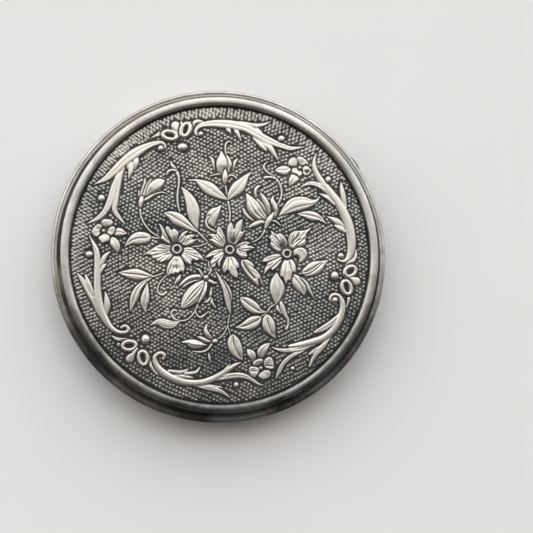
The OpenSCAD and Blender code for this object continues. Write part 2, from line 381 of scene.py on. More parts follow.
def apply_modifiers(ob):
    """Replaces the mesh by what its modifiers make of it."""
    graph = bpy.context.evaluated_depsgraph_get()
    made = bpy.data.meshes.new_from_object(ob.evaluated_get(graph))
    old = ob.data
    ob.modifiers.clear()
    ob.data = made
    bpy.data.meshes.remove(old)


def points_mm(ob):
    """All points of a piece, in millimetres."""
    co = np.empty(len(ob.data.vertices) * 3, np.float32)
    ob.data.vertices.foreach_get("co", co)
    return co.reshape(-1, 3) / MM


def crisp(ob, degrees=40):
    """Smooth shading with sharp edges kept."""
    ob.data.polygons.foreach_set("use_smooth", np.ones(len(ob.data.polygons), bool))
    ob.data.set_sharp_from_angle(angle=math.radians(degrees))


# ---------------------------------------------------------------- relief drawing
# The embossed picture is drawn on a square grid, u to the picture's right and v to its top, in
# millimetres from the lid's centre.
HALF = 38.4
GRID = int(2 * HALF / 0.08) + 1
AXIS = np.linspace(-HALF, HALF, GRID).astype(np.float32)
PITCH = float(AXIS[1] - AXIS[0])
MARGIN = 0.9
MOAT_WIDTH = 0.2
MOAT_REACH = 0.8
TINY = 1e-9


def smooth(points, steps=7):
    """Catmull-Rom curve through given (u, v, width) points."""
    p = np.array([points[0]] + list(points) + [points[-1]], np.float32)
    out = []
    t = np.linspace(0, 1, steps, endpoint=False, dtype=np.float32)[:, None]
    for a, b, c, d in zip(p[:-3], p[1:-2], p[2:-1], p[3:]):
        square = 2 * a - 5 * b + 4 * c - d
        cube = 3 * b - a - 3 * c + d
        out.append(0.5 * (2 * b + (c - a) * t + square * t**2 + cube * t**3))
    out.append(p[-1:])
    out = np.concatenate(out)
    out[:, 2] = np.maximum(out[:, 2], 0.06)
    return out


def closed_curve(outline):
    """Closed curve through given (u, v) points; the pull below 1 keeps corners tighter."""
    steps, pull = 5, 0.8
    p = np.array(outline, np.float32)
    p = np.concatenate([p[-1:], p, p[:2]])
    t = np.linspace(0, 1, steps, endpoint=False, dtype=np.float32)[:, None]
    out = []
    for a, b, c, d in zip(p[:-3], p[1:-2], p[2:-1], p[3:]):
        leave, arrive = pull * (c - a), pull * (d - b)
        square = 6 * (c - b) - 2 * leave - arrive
        cube = leave + arrive - 4 * (c - b)
        out.append(0.5 * (2 * b + leave * t + square * t**2 + cube * t**3))
    return np.concatenate(out)


def to_segment(U, V, a, b):
    """How far along a segment the nearest point lies, from 0 to 1, and the offset from it."""
    du, dv = b[0] - a[0], b[1] - a[1]
    ru, rv = U - a[0], V - a[1]
    t = np.clip((ru * du + rv * dv) / max(du * du + dv * dv, TINY), 0, 1)
    return t, ru - t * du, rv - t * dv


def moat_share(best):
    """1 at an outline, falling to 0 outside it."""
    return np.exp(-((np.minimum(best, 0)) / MOAT_WIDTH) ** 2)


class Relief:
    """Shapes laid over one another, the first one lowest."""

    def __init__(self):
        self.h = np.zeros((GRID, GRID), np.float32)  # height in millimetres, [v, u]
        self.near = np.full((GRID, GRID), -9, np.float32)  # millimetres inside the nearest outline
        self.dark = np.zeros((GRID, GRID), np.float32)  # 1 in the rings' holes, shallow dips painted dark as painted shade

    def patch(self, line, pad):
        """The part of the grid round some points: its slices and its coordinates."""
        low, high = line[:, :2].min(axis=0) - pad, line[:, :2].max(axis=0) + pad
        i0, j0 = np.searchsorted(AXIS, low)
        i1, j1 = np.searchsorted(AXIS, high)
        win = slice(max(j0, 0), min(j1, GRID)), slice(max(i0, 0), min(i1, GRID))
        V, U = np.meshgrid(AXIS[win[0]], AXIS[win[1]], indexing="ij")
        return win, U, V

    def blade(
        self, points, top, power, root, tip=0.7, moat=0.1, flutes=0, rib=0.0, dish=0.0, hatch=0.0, join=False
    ):
        """Long shape round a curved middle line, as wide at each point as that point says."""
        c = smooth(points, 14)
        hw = c[:, 2] / 2
        win, U, V = self.patch(c, hw.max() + MARGIN)
        best = np.full(U.shape, -9, np.float32)
        at = np.zeros_like(best)
        side = np.zeros_like(best)
        half = np.full(U.shape, 0.1, np.float32)
        run = np.concatenate([[0], np.cumsum(np.hypot(*np.diff(c[:, :2], axis=0).T))])
        total = max(run[-1], 1e-3)
        for k in range(len(c) - 1):
            du, dv = c[k + 1, :2] - c[k, :2]
            t, off_u, off_v = to_segment(U, V, c[k], c[k + 1])
            dist = np.hypot(off_u, off_v)
            w = hw[k] + t * (hw[k + 1] - hw[k])
            d = w - dist
            m = d > best
            left = np.sign(du * (V - c[k, 1]) - dv * (U - c[k, 0]))
            best = np.where(m, d, best)
            at = np.where(m, (run[k] + t * (run[k + 1] - run[k])) / total, at)
            side = np.where(m, left * dist / np.maximum(w, 1e-3), side)
            half = np.where(m, w, half)
        x = np.abs(side).clip(0, 1)
        wide = (half / hw.max()).clip(0, 1)
        body = (0.9 * (1 - x ** (2 * power)) + 0.1 * (1 - x**2)) * (0.62 + 0.38 * np.sqrt(wide))
        along = root + (1 - root) * np.clip(at / 0.4, 0, 1) - (1 - tip) * np.clip((at - 0.6) / 0.4, 0, 1)
        h = top * body * along
        middle = np.clip(half / 0.5, 0, 1)
        if dish:
            h = h - dish * (1 - x) ** 1.5 * np.clip(half / 0.8, 0, 1)
        if flutes:
            h = h + 0.075 * np.cos(np.pi * flutes * side) * (1 - x**2) * middle
        if hatch:
            slant = (at * total - 1.1 * x * half) * (2 * np.pi / 0.55)
            h = h + hatch * np.cos(slant) * (1 - x**4) * np.clip(half / 0.9, 0, 1)
        if rib:
            h = h - rib * np.exp(-((side * half) / 0.16) ** 2) * middle * np.clip((1 - at) * 4, 0, 1)
        self.lay(win, best, h, moat, join)

    def plate(
        self, outline, heart=None, *, top, edge=0.35, base=0.4, veins=0, turn=0.0, dip=(), moat=0.1, cut=0.05
    ):
        """Flat shape with a rounded edge, veined and sinking towards the flower's heart."""
        c = closed_curve(outline)
        win, U, V = self.patch(c, MARGIN)
        far = np.full(U.shape, 9, np.float32)
        inside = np.zeros(U.shape, bool)
        for a, b in zip(c, np.roll(c, -1, axis=0)):
            _, off_u, off_v = to_segment(U, V, a, b)
            far = np.minimum(far, np.hypot(off_u, off_v))
            du, dv = b - a
            if abs(dv) > TINY:
                inside ^= ((a[1] > V) != (b[1] > V)) & (U < a[0] + (V - a[1]) / dv * du)
        best = np.where(inside, far, -far)
        h = top * (1 - (1 - np.clip(best / edge, 0, 1)) ** 2)
        if heart is not None:
            ru, rv = U - heart[0], V - heart[1]
            away = np.hypot(ru, rv)
            span = np.hypot(c[:, 0] - heart[0], c[:, 1] - heart[1]).max()
            t = np.clip((away - 1.3) / (span - 1.3), 0, 1)
            h = h * (base + (1 - base) * np.clip(t / 0.45, 0, 1) ** 0.8)
            if veins:
                ray = np.arctan2(rv, ru)
                line = np.cos(veins * ray + turn) + 0.6 * np.cos(veins * 0.53 * ray + 2.1 * turn)
                h = h + cut * line * np.clip(best / 0.5, 0, 1) * (1 - 0.45 * t)
        for u, v, r, deep in dip:
            h = h - deep * np.exp(-((U - u) ** 2 + (V - v) ** 2) / r**2)
        self.lay(win, best, np.maximum(h, 0.02), moat)

    def lay(self, win, best, h, moat, join=False):
        """Lays a shape over the picture; a joined one flows into what is already drawn."""
        old = self.h[win]
        out = moat_share(best)
        if join:
            beside = np.where(self.near[win] > 0, old * (1 - 0.14 * out), old - moat * out)
            new = np.where(best > 0, np.maximum(h, 0.9 * old), beside)
        else:
            new = np.where(best > 0, np.maximum(h, 0.25 * old), old * (1 - 0.5 * out) - moat * out)
        self.h[win] = np.where(best < -MOAT_REACH, old, new)
        self.near[win] = np.maximum(self.near[win], best)
        self.dark[win] = np.where(best > 0, 0, self.dark[win])

    def crease(self, points, deep):
        """Groove drawn along a line."""
        c = smooth(points)
        win, U, V = self.patch(c, 1)
        groove = np.zeros(U.shape, np.float32)
        for a, b in zip(c[:-1], c[1:]):
            t, off_u, off_v = to_segment(U, V, a, b)
            w = (a[2] + t * (b[2] - a[2])) / 2
            cut = np.exp(-(off_u**2 + off_v**2) / w**2) * np.clip(w / 0.12, 0, 1)
            groove = np.maximum(groove, cut)
        self.h[win] -= deep * groove

    def dome(self, u, v, ru, rv, top, power=2.2, moat=0.1):
        """Rounded button on an ellipse."""
        win, U, V = self.patch(np.array([[u, v]]), max(ru, rv) + MARGIN)
        r = np.hypot((U - u) / ru, (V - v) / rv)
        best = (1 - r) * min(ru, rv)
        r = r.clip(0, 1)
        h = top * (0.75 * (1 - r ** (1.7 * power)) + 0.25 * (1 - r**2))
        self.lay(win, best, h, moat)

    def ring(self, u, v, ra, rb, turn, width, top=0.6, hole=-0.15, power=2.5):
        """Ring round an ellipse, its hole a shallow dip painted dark as painted shade."""
        win, U, V = self.patch(np.array([[u, v]]), max(ra, rb) + width + MARGIN)
        U, V = U - u, V - v
        a = np.radians(turn)
        p, q = U * np.cos(a) + V * np.sin(a), -U * np.sin(a) + V * np.cos(a)
        r = np.hypot(p / ra, q / rb)
        # distance to the ellipse, first order
        slope = np.hypot(p / ra**2, q / rb**2) / np.maximum(r, 1e-3)
        dist = (r - 1) / np.maximum(slope, 1e-3)
        best = width / 2 - np.abs(dist)
        x = (np.abs(dist) / (width / 2)).clip(0, 1)
        h = top * (1 - x**power)
        old = self.h[win]
        out = moat_share(best)
        inner = (dist < 0) & (best <= 0)
        beside = np.where(inner, hole, old * (1 - 0.5 * out) - 0.1 * out)
        new = np.where(best > 0, np.maximum(h, 0.25 * old), beside)
        self.h[win] = np.where((best < -MOAT_REACH) & ~inner, old, new)
        self.near[win] = np.maximum(self.near[win], np.where(inner, 0.0, best))
        # The hole is painted dark: painted shade.
        self.dark[win] = np.where(inner, 1, np.where(best > 0, 0, self.dark[win]))


def blur(grid, mm):
    """Box blur run three times: close to a Gaussian of that radius."""
    reach = max(int(round(mm / PITCH)), 1)
    width = 2 * reach + 1
    for _ in range(3):
        for _ in range(2):
            padded = np.pad(grid, ((reach + 1, reach), (0, 0)), mode="edge")
            sums = np.cumsum(padded, axis=0, dtype=np.float64)
            grid = ((sums[width:] - sums[:-width]) / width).T
    return grid.astype(np.float32)


def wider(share, points):
    """The same middle line with every width multiplied."""
    return [(u, v, share * w) for u, v, w in points]


def motifs():
    """The embossed picture. Later shapes lie over earlier ones, so the order matters."""
    relief = Relief()
    ring, crease = relief.ring, relief.crease

    def stem(*points, top=0.34):
        relief.blade(points, top=top, power=2.2, root=1, tip=0.8, moat=0.06)

    def leaf(*points, rib, top=0.48, flutes=0, dish=0.0):
        relief.blade(
            wider(1.14, points), top=top, power=4.2, rib=rib, root=0.7, flutes=flutes, dish=dish, hatch=0.018
        )

    def petal(*points, top, flutes=0):
        relief.blade(wider(1.06, points), top=top, power=3.2, flutes=flutes, root=0.42, tip=0.85, moat=0.05)

    def scroll(*points, flutes=0):
        shape = wider(1.28, points)
        relief.blade(shape, top=0.48, power=3.6, root=0.9, tip=0.8, flutes=flutes, rib=0.05, join=True)

    def frond(*points, top=0.46):
        relief.blade(wider(1.32, points), top=top, power=3.2, root=0.95, tip=0.85, join=True)

    def lobe(*points, top=0.44):
        relief.blade(wider(1.1, points), top=top, power=3, root=0.95, tip=0.85)

    def bead(u, v, ru, rv=None, *, top):
        relief.dome(u, v, ru, rv or ru, top=top)

    def eye(u, v, r, width):
        relief.dome(u, v, r + 0.7, r + 0.7, top=0.2, power=4, moat=0.0)
        relief.ring(u, v, r, r, 0, width, top=0.6, hole=0.0, power=5)

    # ---- border scrolls ----
    # top
    frond((1.6, 32.6, .8), (2.2, 31.7, .9), (2.8, 30.6, .2))
    frond((3.6, 32.4, .9), (4.4, 31.0, .9), (5.4, 28.8, .2))
    frond((6.0, 32.9, .8), (8.6, 32.3, 1.0), (10.5, 31.3, .3))
    frond((2.0, 33.6, .8), (5.4, 33.3, 1.1), (8.4, 32.9, 1.1), (10.8, 33.1, .8), (12.8, 34.0, .2))
    frond((9.0, 29.8, 1.2), (10.6, 27.9, 1.3), (11.8, 26.4, .3))
    frond((9.6, 30.0, 1.2), (12.4, 27.6, 1.3), (13.8, 25.6, .8), (14.7, 24.1, .2))
    scroll((-4.9, 30.4, 1.1), (-5.9, 30.6, .7), (-6.0, 31.6, .8), (-4.9, 32.7, 1.1), (-2.4, 33.2, 1.5),
        (0.7, 33.2, 1.9), (3.6, 32.9, 2.0), (6.6, 32.1, 1.8), (9.2, 30.7, 1.8), (12.2, 29.1, 1.7),
        (15.4, 27.9, 1.3), (18.0, 27.2, 1.0), (21.4, 27.7, .2))
    bead(-4.8, 30.6, .75, top=.62)
    # left, upper
    frond((-22.3, 24.3, .9), (-22.9, 22.9, 1.1), (-23.2, 21.6, .3))
    frond((-21.2, 24.6, 1.2), (-21.2, 23.0, 1.3), (-21.4, 21.4, .3))
    frond((-22.3, 23.0, .8), (-22.4, 21.0, 1.1), (-22.9, 18.9, .2))
    scroll((-24.2, 22.8, 1.2), (-25.4, 19.6, 1.6), (-25.9, 16.4, 1.5), (-26.3, 13.2, 1.4),
        (-26.4, 10.9, 1.1), (-25.2, 9.0, .8), (-23.7, 7.3, .2))
    scroll((-25.2, 20.6, 1.0), (-26.6, 16.8, 1.4), (-27.5, 13.4, 1.5), (-28.9, 10.5, 1.3),
        (-31.0, 8.6, .9), (-33.4, 7.5, .2))
    scroll((-14.7, 26.7, 1.1), (-13.9, 27.2, .8), (-14.5, 28.1, .9), (-16.4, 28.0, 1.1),
        (-18.8, 27.0, 1.6), (-21.4, 25.4, 2.2), (-24.0, 23.4, 2.0), (-26.4, 21.0, 1.8), (-28.6, 19.0, 1.3),
        (-31.7, 17.4, .2))
    bead(-14.9, 26.8, .85, top=.62)
    # left, lower
    frond((-30.3, -4.8, .8), (-29.7, -2.8, 1.1), (-28.8, -0.8, 1.0), (-27.4, 0.5, .2))
    frond((-30.0, -5.0, .6), (-29.3, -3.6, .8), (-28.5, -2.7, .3))
    frond((-28.6, -15.6, .8), (-28.2, -13.0, 1.4), (-28.7, -9.8, .2))
    scroll((-30.0, -15.4, 1.0), (-31.2, -12.6, 1.4), (-32.9, -9.6, 1.3), (-34.3, -7.2, 1.1),
        (-35.8, -5.1, .2))
    frond((-31.8, -10.4, .8), (-32.9, -7.8, 1.0), (-33.7, -5.5, .3))
    scroll((-24.5, -18.7, .7), (-23.6, -18.3, .7), (-22.8, -19.1, .8), (-23.4, -19.9, .8),
        (-25.4, -19.9, .9), (-27.4, -18.6, 1.2), (-29.1, -15.9, 1.6), (-30.3, -12.6, 1.8),
        (-30.7, -9.0, 1.5), (-30.7, -5.4, 1.5), (-30.7, -2.0, 1.4), (-31.2, 1.2, 1.1), (-32.8, 4.5, .2),
        flutes=1)
    # bottom
    frond((-11.8, -30.9, .8), (-9.0, -31.0, 1.1), (-6.5, -31.2, .3))
    frond((-12.5, -29.6, .7), (-9.6, -29.9, .9), (-7.6, -29.0, .2))
    frond((-8.4, -30.2, .8), (-5.9, -29.9, .8), (-4.7, -28.4, .2))
    frond((-6.0, -33.2, .7), (-2.4, -33.3, .8), (0.8, -33.6, .3))
    scroll((-6.0, -33.0, .9), (-2.6, -33.8, 1.1), (0.5, -34.6, .9), (2.9, -36.2, .2))
    frond((-0.6, -30.9, .7), (1.4, -29.4, .8), (2.8, -27.5, .2))
    scroll((-4.2, -32.2, .8), (-1.0, -31.4, 1.2), (2.2, -30.8, 1.4), (5.2, -30.5, 1.3), (7.6, -31.1, 1.0),
        (9.8, -32.5, .6), (11.4, -32.9, .2))
    scroll((-14.0, -26.6, .6), (-13.8, -25.6, .9), (-14.9, -25.1, .9), (-16.1, -26.1, .9),
        (-15.8, -28.0, 1.2), (-14.0, -30.1, 1.6), (-11.0, -31.7, 1.6), (-7.7, -32.5, 1.5),
        (-4.4, -32.4, 1.4), (-1.4, -31.4, 1.4), (1.6, -29.6, 1.2), (3.8, -28.1, 1.0), (5.4, -27.2, .3),
        flutes=1)
    # right, upper
    frond((31.4, 7.2, .8), (29.6, 8.8, 1.4), (27.2, 10.1, .2))
    frond((31.6, 6.4, .8), (30.2, 7.2, 1.0), (29.0, 7.9, .3))
    scroll((31.6, 12.6, .9), (31.2, 15.2, 1.1), (30.8, 17.2, .9), (30.6, 18.8, .2))
    frond((30.3, 13.0, .8), (30.0, 14.4, .8), (29.6, 15.4, .2))
    scroll((29.0, 13.4, 1.0), (27.6, 14.7, 1.1), (26.4, 15.3, .8), (25.1, 15.9, .2))
    scroll((28.8, 14.6, 1.0), (26.9, 16.8, 1.4), (24.8, 18.0, 1.2), (22.6, 18.4, .9), (20.4, 17.4, .2))
    scroll((30.4, 0.2, .9), (30.2, -0.8, .7), (31.4, -1.2, .8), (32.7, -0.2, 1.3), (33.3, 2.2, 1.7),
        (33.2, 5.0, 1.9), (32.5, 8.2, 2.0), (31.3, 11.2, 1.9), (29.6, 14.0, 1.7), (27.4, 16.9, 1.5),
        (25.4, 19.4, 1.3), (24.1, 21.9, 1.0), (23.8, 24.0, .7), (24.3, 26.1, .2), flutes=1)
    bead(30.6, 0.2, .85, top=.62)
    # right, lower
    scroll((30.6, -14.6, .9), (29.0, -16.4, 1.4), (26.8, -18.0, 1.4), (24.1, -19.3, .6))
    scroll((27.4, -21.0, .8), (25.9, -22.9, 1.0), (24.3, -24.0, 1.1), (22.7, -24.9, .4))
    scroll((28.2, -19.8, .8), (26.2, -22.8, 1.0), (24.2, -25.2, .9), (22.9, -27.9, .5))
    scroll((23.0, -22.6, .7), (20.4, -24.2, .9), (18.0, -25.6, .9), (16.2, -27.4, .9), (15.2, -29.4, .9),
        (14.4, -31.2, .3))
    scroll((24.0, -22.2, .8), (20.6, -23.4, 1.0), (17.4, -24.0, 1.0), (15.2, -23.9, .7), (13.3, -23.2, .2))
    scroll((29.2, -11.6, 1.0), (28.1, -10.9, .9), (28.6, -9.8, .9), (30.0, -9.9, .9), (31.0, -11.4, 1.1),
        (31.1, -13.4, 1.3), (30.3, -16.0, 1.5), (28.7, -18.6, 1.5), (26.4, -20.6, 1.5), (23.6, -21.7, 1.5),
        (20.6, -22.5, 1.4), (18.0, -22.9, .9), flutes=1)
    bead(29.2, -11.0, .85, top=.62)

    # ---- cartouches ----
    frond((-6.9, 32.0, .4), (-6.5, 33.3, .9), (-5.5, 33.8, .9), (-4.3, 33.7, .3))
    scroll((-13.9, 30.2, 1.2), (-15.4, 30.3, .9), (-17.2, 29.4, .3))
    frond((-14.0, 30.8, 1.0), (-13.0, 32.0, .3))
    frond((-15.0, 30.4, .8), (-15.4, 31.0, .3))
    ring(-12.6, 30.15, 1.75, 1.0, -10, 1.38)
    frond((-10.3, 30.0, .5), (-10.7, 31.4, 1.0), (-11.15, 32.5, 1.8), (-11.2, 32.7, 1.8), top=.6)
    ring(-8.65, 31.6, 1.65, 1.05, 68, 1.38)
    frond((-9.6, 33.0, .6), (-9.8, 33.7, .3))
    frond((-7.8, 33.0, .6), (-7.4, 33.6, .3))
    bead(-9.4, 27.2, 1.4, 1.15, top=.75)
    scroll((31.6, -3.2, .8), (32.5, -1.9, .9), (33.8, -0.9, .8), (34.4, 0.4, .6), (34.4, 1.8, .2))
    ring(33.0, -3.7, 1.5, 1.15, 35, 1.28)
    frond((31.9, -5.1, .4), (33.0, -5.6, .9), (34.3, -6.2, 1.8), (34.5, -6.2, 1.8), top=.6)
    scroll((32.6, -9.8, .6), (32.6, -11.2, .6), (32.1, -12.8, .3))
    ring(32.1, -7.8, 1.7, 1.1, -72, 1.28)
    bead(29.1, -4.9, 1.1, 1.25, top=.75)
    scroll((-21.4, -22.1, .8), (-23.6, -21.9, .8), (-25.6, -21.7, .8), (-27.0, -20.9, .25))
    frond((-24.3, -23.5, .8), (-25.2, -23.1, .9))
    ring(-22.6, -23.3, 1.7, 1.1, 5, 1.23)
    frond((-20.6, -24.2, .6), (-21.5, -25.3, .9), (-22.3, -26.5, 1.7), (-22.4, -26.7, 1.7), top=.6)
    scroll((-17.7, -26.0, .8), (-17.3, -28.0, .7), (-16.3, -29.7, .6), (-15.2, -30.7, .25))
    ring(-19.1, -26.4, 1.7, 1.1, -80, 1.28)
    bead(-18.5, -21.7, 1.2, 1.4, top=.75)

    # ---- outer pearls ----
    bead(-29.8, 14.0, 1.0, 1.0, top=.55)
    bead(-32.8, -0.3, 1.05, .95, top=.55)
    bead(15.55, 29.7, .95, .95, top=.55)
    bead(27.4, 19.5, .8, .95, top=.55)
    bead(4.4, -32.9, .75, .85, top=.55)
    bead(18.6, -28.5, .65, .6, top=.55)

    # ---- small flowers ----
    def small_leaf(*points):
        leaf(*wider(1.12, points), rib=0.05, top=0.46)

    def small_petal(heart, *outline):
        mid = np.mean(outline, axis=0)
        grown = [mid + 1.14 * (np.array(point) - mid) for point in outline]
        turn = outline[0][0]
        relief.plate(grown, heart, top=0.5, edge=0.28, veins=8, turn=turn, base=0.8, cut=0.02, moat=0.08)

    def small_heart(u, v):
        relief.dome(u, v, 0.5, 0.5, top=0.48, moat=0.03)

    west, north, south = (-29.2, 5.7), (20.2, 22.4), (10.6, -28.5)
    small_leaf((-26.6, 5.2, .7), (-25.3, 5.4, 1.8), (-24.3, 5.2, 1.1), (-23.3, 5.1, .2))
    small_leaf((-27.3, 4.0, .4), (-26.6, 2.9, 1.8), (-25.9, 1.6, 1.5), (-25.5, 0.2, .2))
    small_petal(west, (-29.6, 8.2), (-29.1, 8.6), (-28.3, 8.6), (-27.4, 8.5), (-26.9, 7.7), (-27.4, 7.1),
        (-28.3, 6.8), (-29.2, 6.9), (-29.7, 7.5))
    small_petal(west, (-31.6, 6.5), (-30.6, 7.3), (-29.7, 6.9), (-29.8, 6.3), (-30.2, 5.6), (-30.1, 5.0),
        (-30.8, 4.2), (-31.5, 4.5), (-32.1, 5.3), (-31.9, 6.0))
    small_petal(west, (-27.7, 6.5), (-26.7, 6.8), (-26.3, 6.0), (-26.6, 5.0), (-27.3, 4.5), (-28.0, 4.8),
        (-28.2, 5.3), (-28.0, 5.9))
    small_petal(west, (-29.9, 4.4), (-28.9, 4.9), (-28.0, 4.5), (-27.7, 3.9), (-27.9, 3.1), (-28.6, 2.9),
        (-29.4, 2.5), (-30.1, 3.3), (-30.4, 3.9))
    small_heart(*west)
    small_leaf((14.0, 21.6, .2), (15.2, 21.6, 1.5), (16.3, 21.6, 2.0), (17.5, 22.0, .6))
    small_leaf((17.6, 17.7, .2), (18.3, 18.9, 1.5), (19.0, 20.0, 1.9), (19.2, 20.8, .8))
    small_petal(north, (17.3, 23.5), (17.7, 24.5), (18.6, 24.9), (19.4, 24.4), (19.5, 23.5), (19.2, 22.8),
        (18.3, 22.7), (17.6, 22.8))
    small_petal(north, (19.6, 24.8), (20.1, 25.2), (20.9, 24.9), (21.7, 24.3), (22.3, 23.4), (21.9, 23.0),
        (20.9, 22.9), (20.2, 23.2), (19.8, 23.9))
    small_petal(north, (21.0, 22.4), (22.0, 22.8), (22.5, 22.3), (23.1, 21.5), (22.5, 20.9), (21.7, 20.4),
        (21.2, 20.7), (21.0, 21.5))
    small_petal(north, (18.3, 21.9), (18.8, 22.3), (19.4, 22.2), (19.8, 21.6), (20.4, 21.5), (20.7, 20.9),
        (20.3, 20.2), (19.8, 20.1), (19.3, 20.6), (18.3, 21.0))
    relief.dome(22.0, 21.3, .35, .25, top=-.15)
    small_heart(*north)
    small_leaf((7.1, -23.8, .2), (8.1, -25.0, 1.6), (8.6, -26.0, 1.0), (8.2, -26.9, .2))
    small_leaf((12.8, -22.2, .2), (11.6, -23.3, 1.5), (10.8, -24.4, 1.9), (10.5, -25.6, .8))
    small_petal(south, (8.6, -27.5), (8.9, -26.8), (9.8, -26.3), (10.8, -26.3), (11.1, -27.1),
        (10.5, -27.5), (9.5, -28.0), (8.9, -27.9))
    small_petal(south, (11.4, -27.5), (11.6, -26.5), (12.6, -25.8), (13.4, -26.3), (13.8, -27.7),
        (13.7, -28.5), (12.9, -28.9), (11.9, -28.5))
    small_petal(south, (7.7, -28.6), (8.4, -28.2), (9.8, -28.5), (10.1, -29.2), (9.8, -30.0), (9.0, -30.9),
        (8.1, -30.4), (7.7, -29.5))
    small_petal(south, (10.1, -30.3), (10.8, -29.6), (11.6, -29.1), (12.6, -29.2), (13.0, -30.0),
        (12.6, -30.9), (11.3, -31.4), (10.3, -30.9))
    crease([(12.0, -27.9, .3), (12.9, -28.0, .3), (13.6, -28.1, .2)], .18)
    crease([(8.0, -29.3, .2), (9.0, -29.4, .3), (9.8, -29.3, .2)], .15)
    small_heart(*south)

    # ---- stems first, so that leaves and flowers lie over them ----
    stem((2.5, 8.2, .5), (2.6, 10.5, .5), (2.2, 13.2, .5), (1.8, 15.5, .45), (1.35, 18.0, .4))
    stem((-20.0, 12.2, .5), (-19.9, 10.0, .5), (-19.0, 7.7, .5), (-17.3, 5.6, .5), (-15.2, 4.3, .45))
    stem((-9.9, 10.4, .5), (-10.5, 12.6, .5), (-10.6, 15.0, .55), (-10.3, 17.8, .6), (-10.4, 19.9, .7),
        (-11.3, 21.6, 1.0), (-12.0, 22.6, .8), (-12.4, 23.6, .2), top=.42)
    stem((-11.0, 21.1, .6), (-12.0, 21.3, .7), (-12.9, 20.9, .9), (-13.2, 20.2, .6), top=.42)
    stem((-5.8, 6.0, .5), (-4.3, 4.5, .5), (-2.9, 3.1, .4))
    stem((-3.0, 2.9, .35), (-5.2, 2.1, .4), (-8.6, 1.8, .35))
    stem((8.3, 3.3, .4), (9.8, 4.1, .45), (11.0, 5.5, .5), (11.6, 7.2, .6))
    stem((-2.7, -1.8, .45), (-2.6, -2.9, .5), (-2.1, -4.0, .55), (-2.9, -5.3, .6))
    stem((-14.9, 3.9, .35), (-16.9, 4.1, .5), (-18.0, 4.2, .6))
    stem((-18.0, -6.4, .4), (-16.6, -5.8, .45), (-15.3, -5.3, .4), (-14.1, -4.8, .4))
    stem((-13.4, -5.5, .4), (-14.4, -6.6, .5), (-15.4, -8.3, .5), (-15.4, -9.8, .55), (-14.3, -10.4, .7),
        (-13.4, -9.7, .7))
    stem((-5.2, -12.2, .5), (-6.2, -14.6, .5), (-7.8, -16.4, .5), (-9.9, -16.9, .55), (-11.5, -16.2, .6),
        (-12.0, -15.0, .6), (-11.4, -14.2, .6), (-10.6, -14.4, .4))
    stem((-6.1, -14.2, .4), (-5.5, -15.5, .55), (-4.6, -15.9, .65), (-3.8, -15.4, .55), (-2.7, -14.4, .3))
    stem((-0.8, -21.5, .45), (0.6, -20.7, .4), (1.8, -18.9, .4), (2.3, -17.0, .4), (2.6, -15.0, .35))
    stem((2.2, -18.0, .4), (2.6, -19.5, .4), (2.95, -21.0, .4))
    stem((14.2, -12.3, .35), (12.8, -13.2, .5), (11.9, -14.6, .5), (10.2, -15.8, .45))

    # ---- top bud ----
    leaf((2.0, 13.9, .3), (-0.3, 15.2, 2.0), (-2.6, 16.7, 3.0), (-4.6, 18.0, 1.7), (-5.9, 18.7, .7),
        (-7.8, 18.8, .4), rib=.05)
    leaf((2.2, 14.0, .3), (3.3, 15.6, 2.1), (4.6, 17.0, 3.0), (5.7, 18.4, 2.2), (6.7, 19.8, 1.1),
        (8.0, 21.1, .2), rib=.05)
    stem((1.0, 19.0, .5), (0.4, 20.2, .65), (-0.6, 20.35, .6), (-2.5, 19.9, .25), top=.45)
    stem((1.7, 19.0, .5), (2.5, 20.1, .65), (3.4, 20.0, .6), (4.2, 19.4, .6), top=.45)
    stem((1.7, 25.0, .45), (1.4, 26.6, .5), (1.5, 28.0, .6), (2.3, 28.75, .6), (3.1, 28.2, .25), top=.42)
    lobe((-2.7, 24.9, .3), (-1.9, 24.1, .75), (-1.6, 22.8, .6), (-1.3, 21.3, .2))
    lobe((4.4, 24.3, .4), (3.9, 23.6, .8), (3.6, 22.6, .55), (3.35, 21.2, .2))
    petal((1.8, 21.0, 1.2), (2.1, 22.8, 1.9), (2.0, 24.0, 1.4), (1.8, 25.2, .2), top=.6)
    petal((1.0, 20.4, 1.4), (0.6, 21.8, 2.6), (0.5, 23.3, 2.8), (0.5, 24.8, 1.6), (0.3, 26.3, .2), top=.72)
    leaf((1.35, 21.7, .2), (1.35, 20.3, 1.1), (1.3, 18.9, 1.2), (1.35, 17.9, .4), rib=0, top=.6)

    # ---- closed bud, upper left ----
    lobe((-20.3, 16.0, .3), (-20.3, 14.8, .5), (-19.9, 13.4, .6))
    lobe((-18.8, 19.1, .3), (-18.9, 17.8, .6), (-19.4, 16.4, .6), (-19.8, 14.6, .7))
    lobe((-17.2, 19.0, .3), (-18.0, 17.8, .6), (-18.4, 16.6, .8), (-19.0, 14.8, .8))
    petal((-18.2, 14.9, .7), (-17.0, 16.6, 2.3), (-15.7, 17.6, 2.9), (-14.7, 18.2, 1.7), (-13.9, 18.6, .2),
        top=.7)
    lobe((-13.0, 15.1, .2), (-14.6, 15.6, .5), (-16.5, 15.0, .6), (-17.8, 14.2, .8), (-19.5, 13.3, .8))
    lobe((-19.9, 12.0, .9), (-19.8, 13.2, 1.3), (-19.6, 14.2, .9), top=.6)

    # ---- leaf pair beside it ----
    leaf((-9.6, 17.0, .2), (-8.4, 15.4, 1.4), (-7.2, 13.2, 2.5), (-6.6, 10.8, 2.9), (-6.3, 8.6, 2.0),
        (-5.6, 6.2, .5), rib=.04)
    leaf((-13.9, 10.4, .3), (-12.3, 9.9, 1.8), (-10.6, 8.9, 2.9), (-8.7, 7.7, 2.2), (-6.9, 6.5, 1.1),
        (-5.6, 5.7, .4), rib=.12)
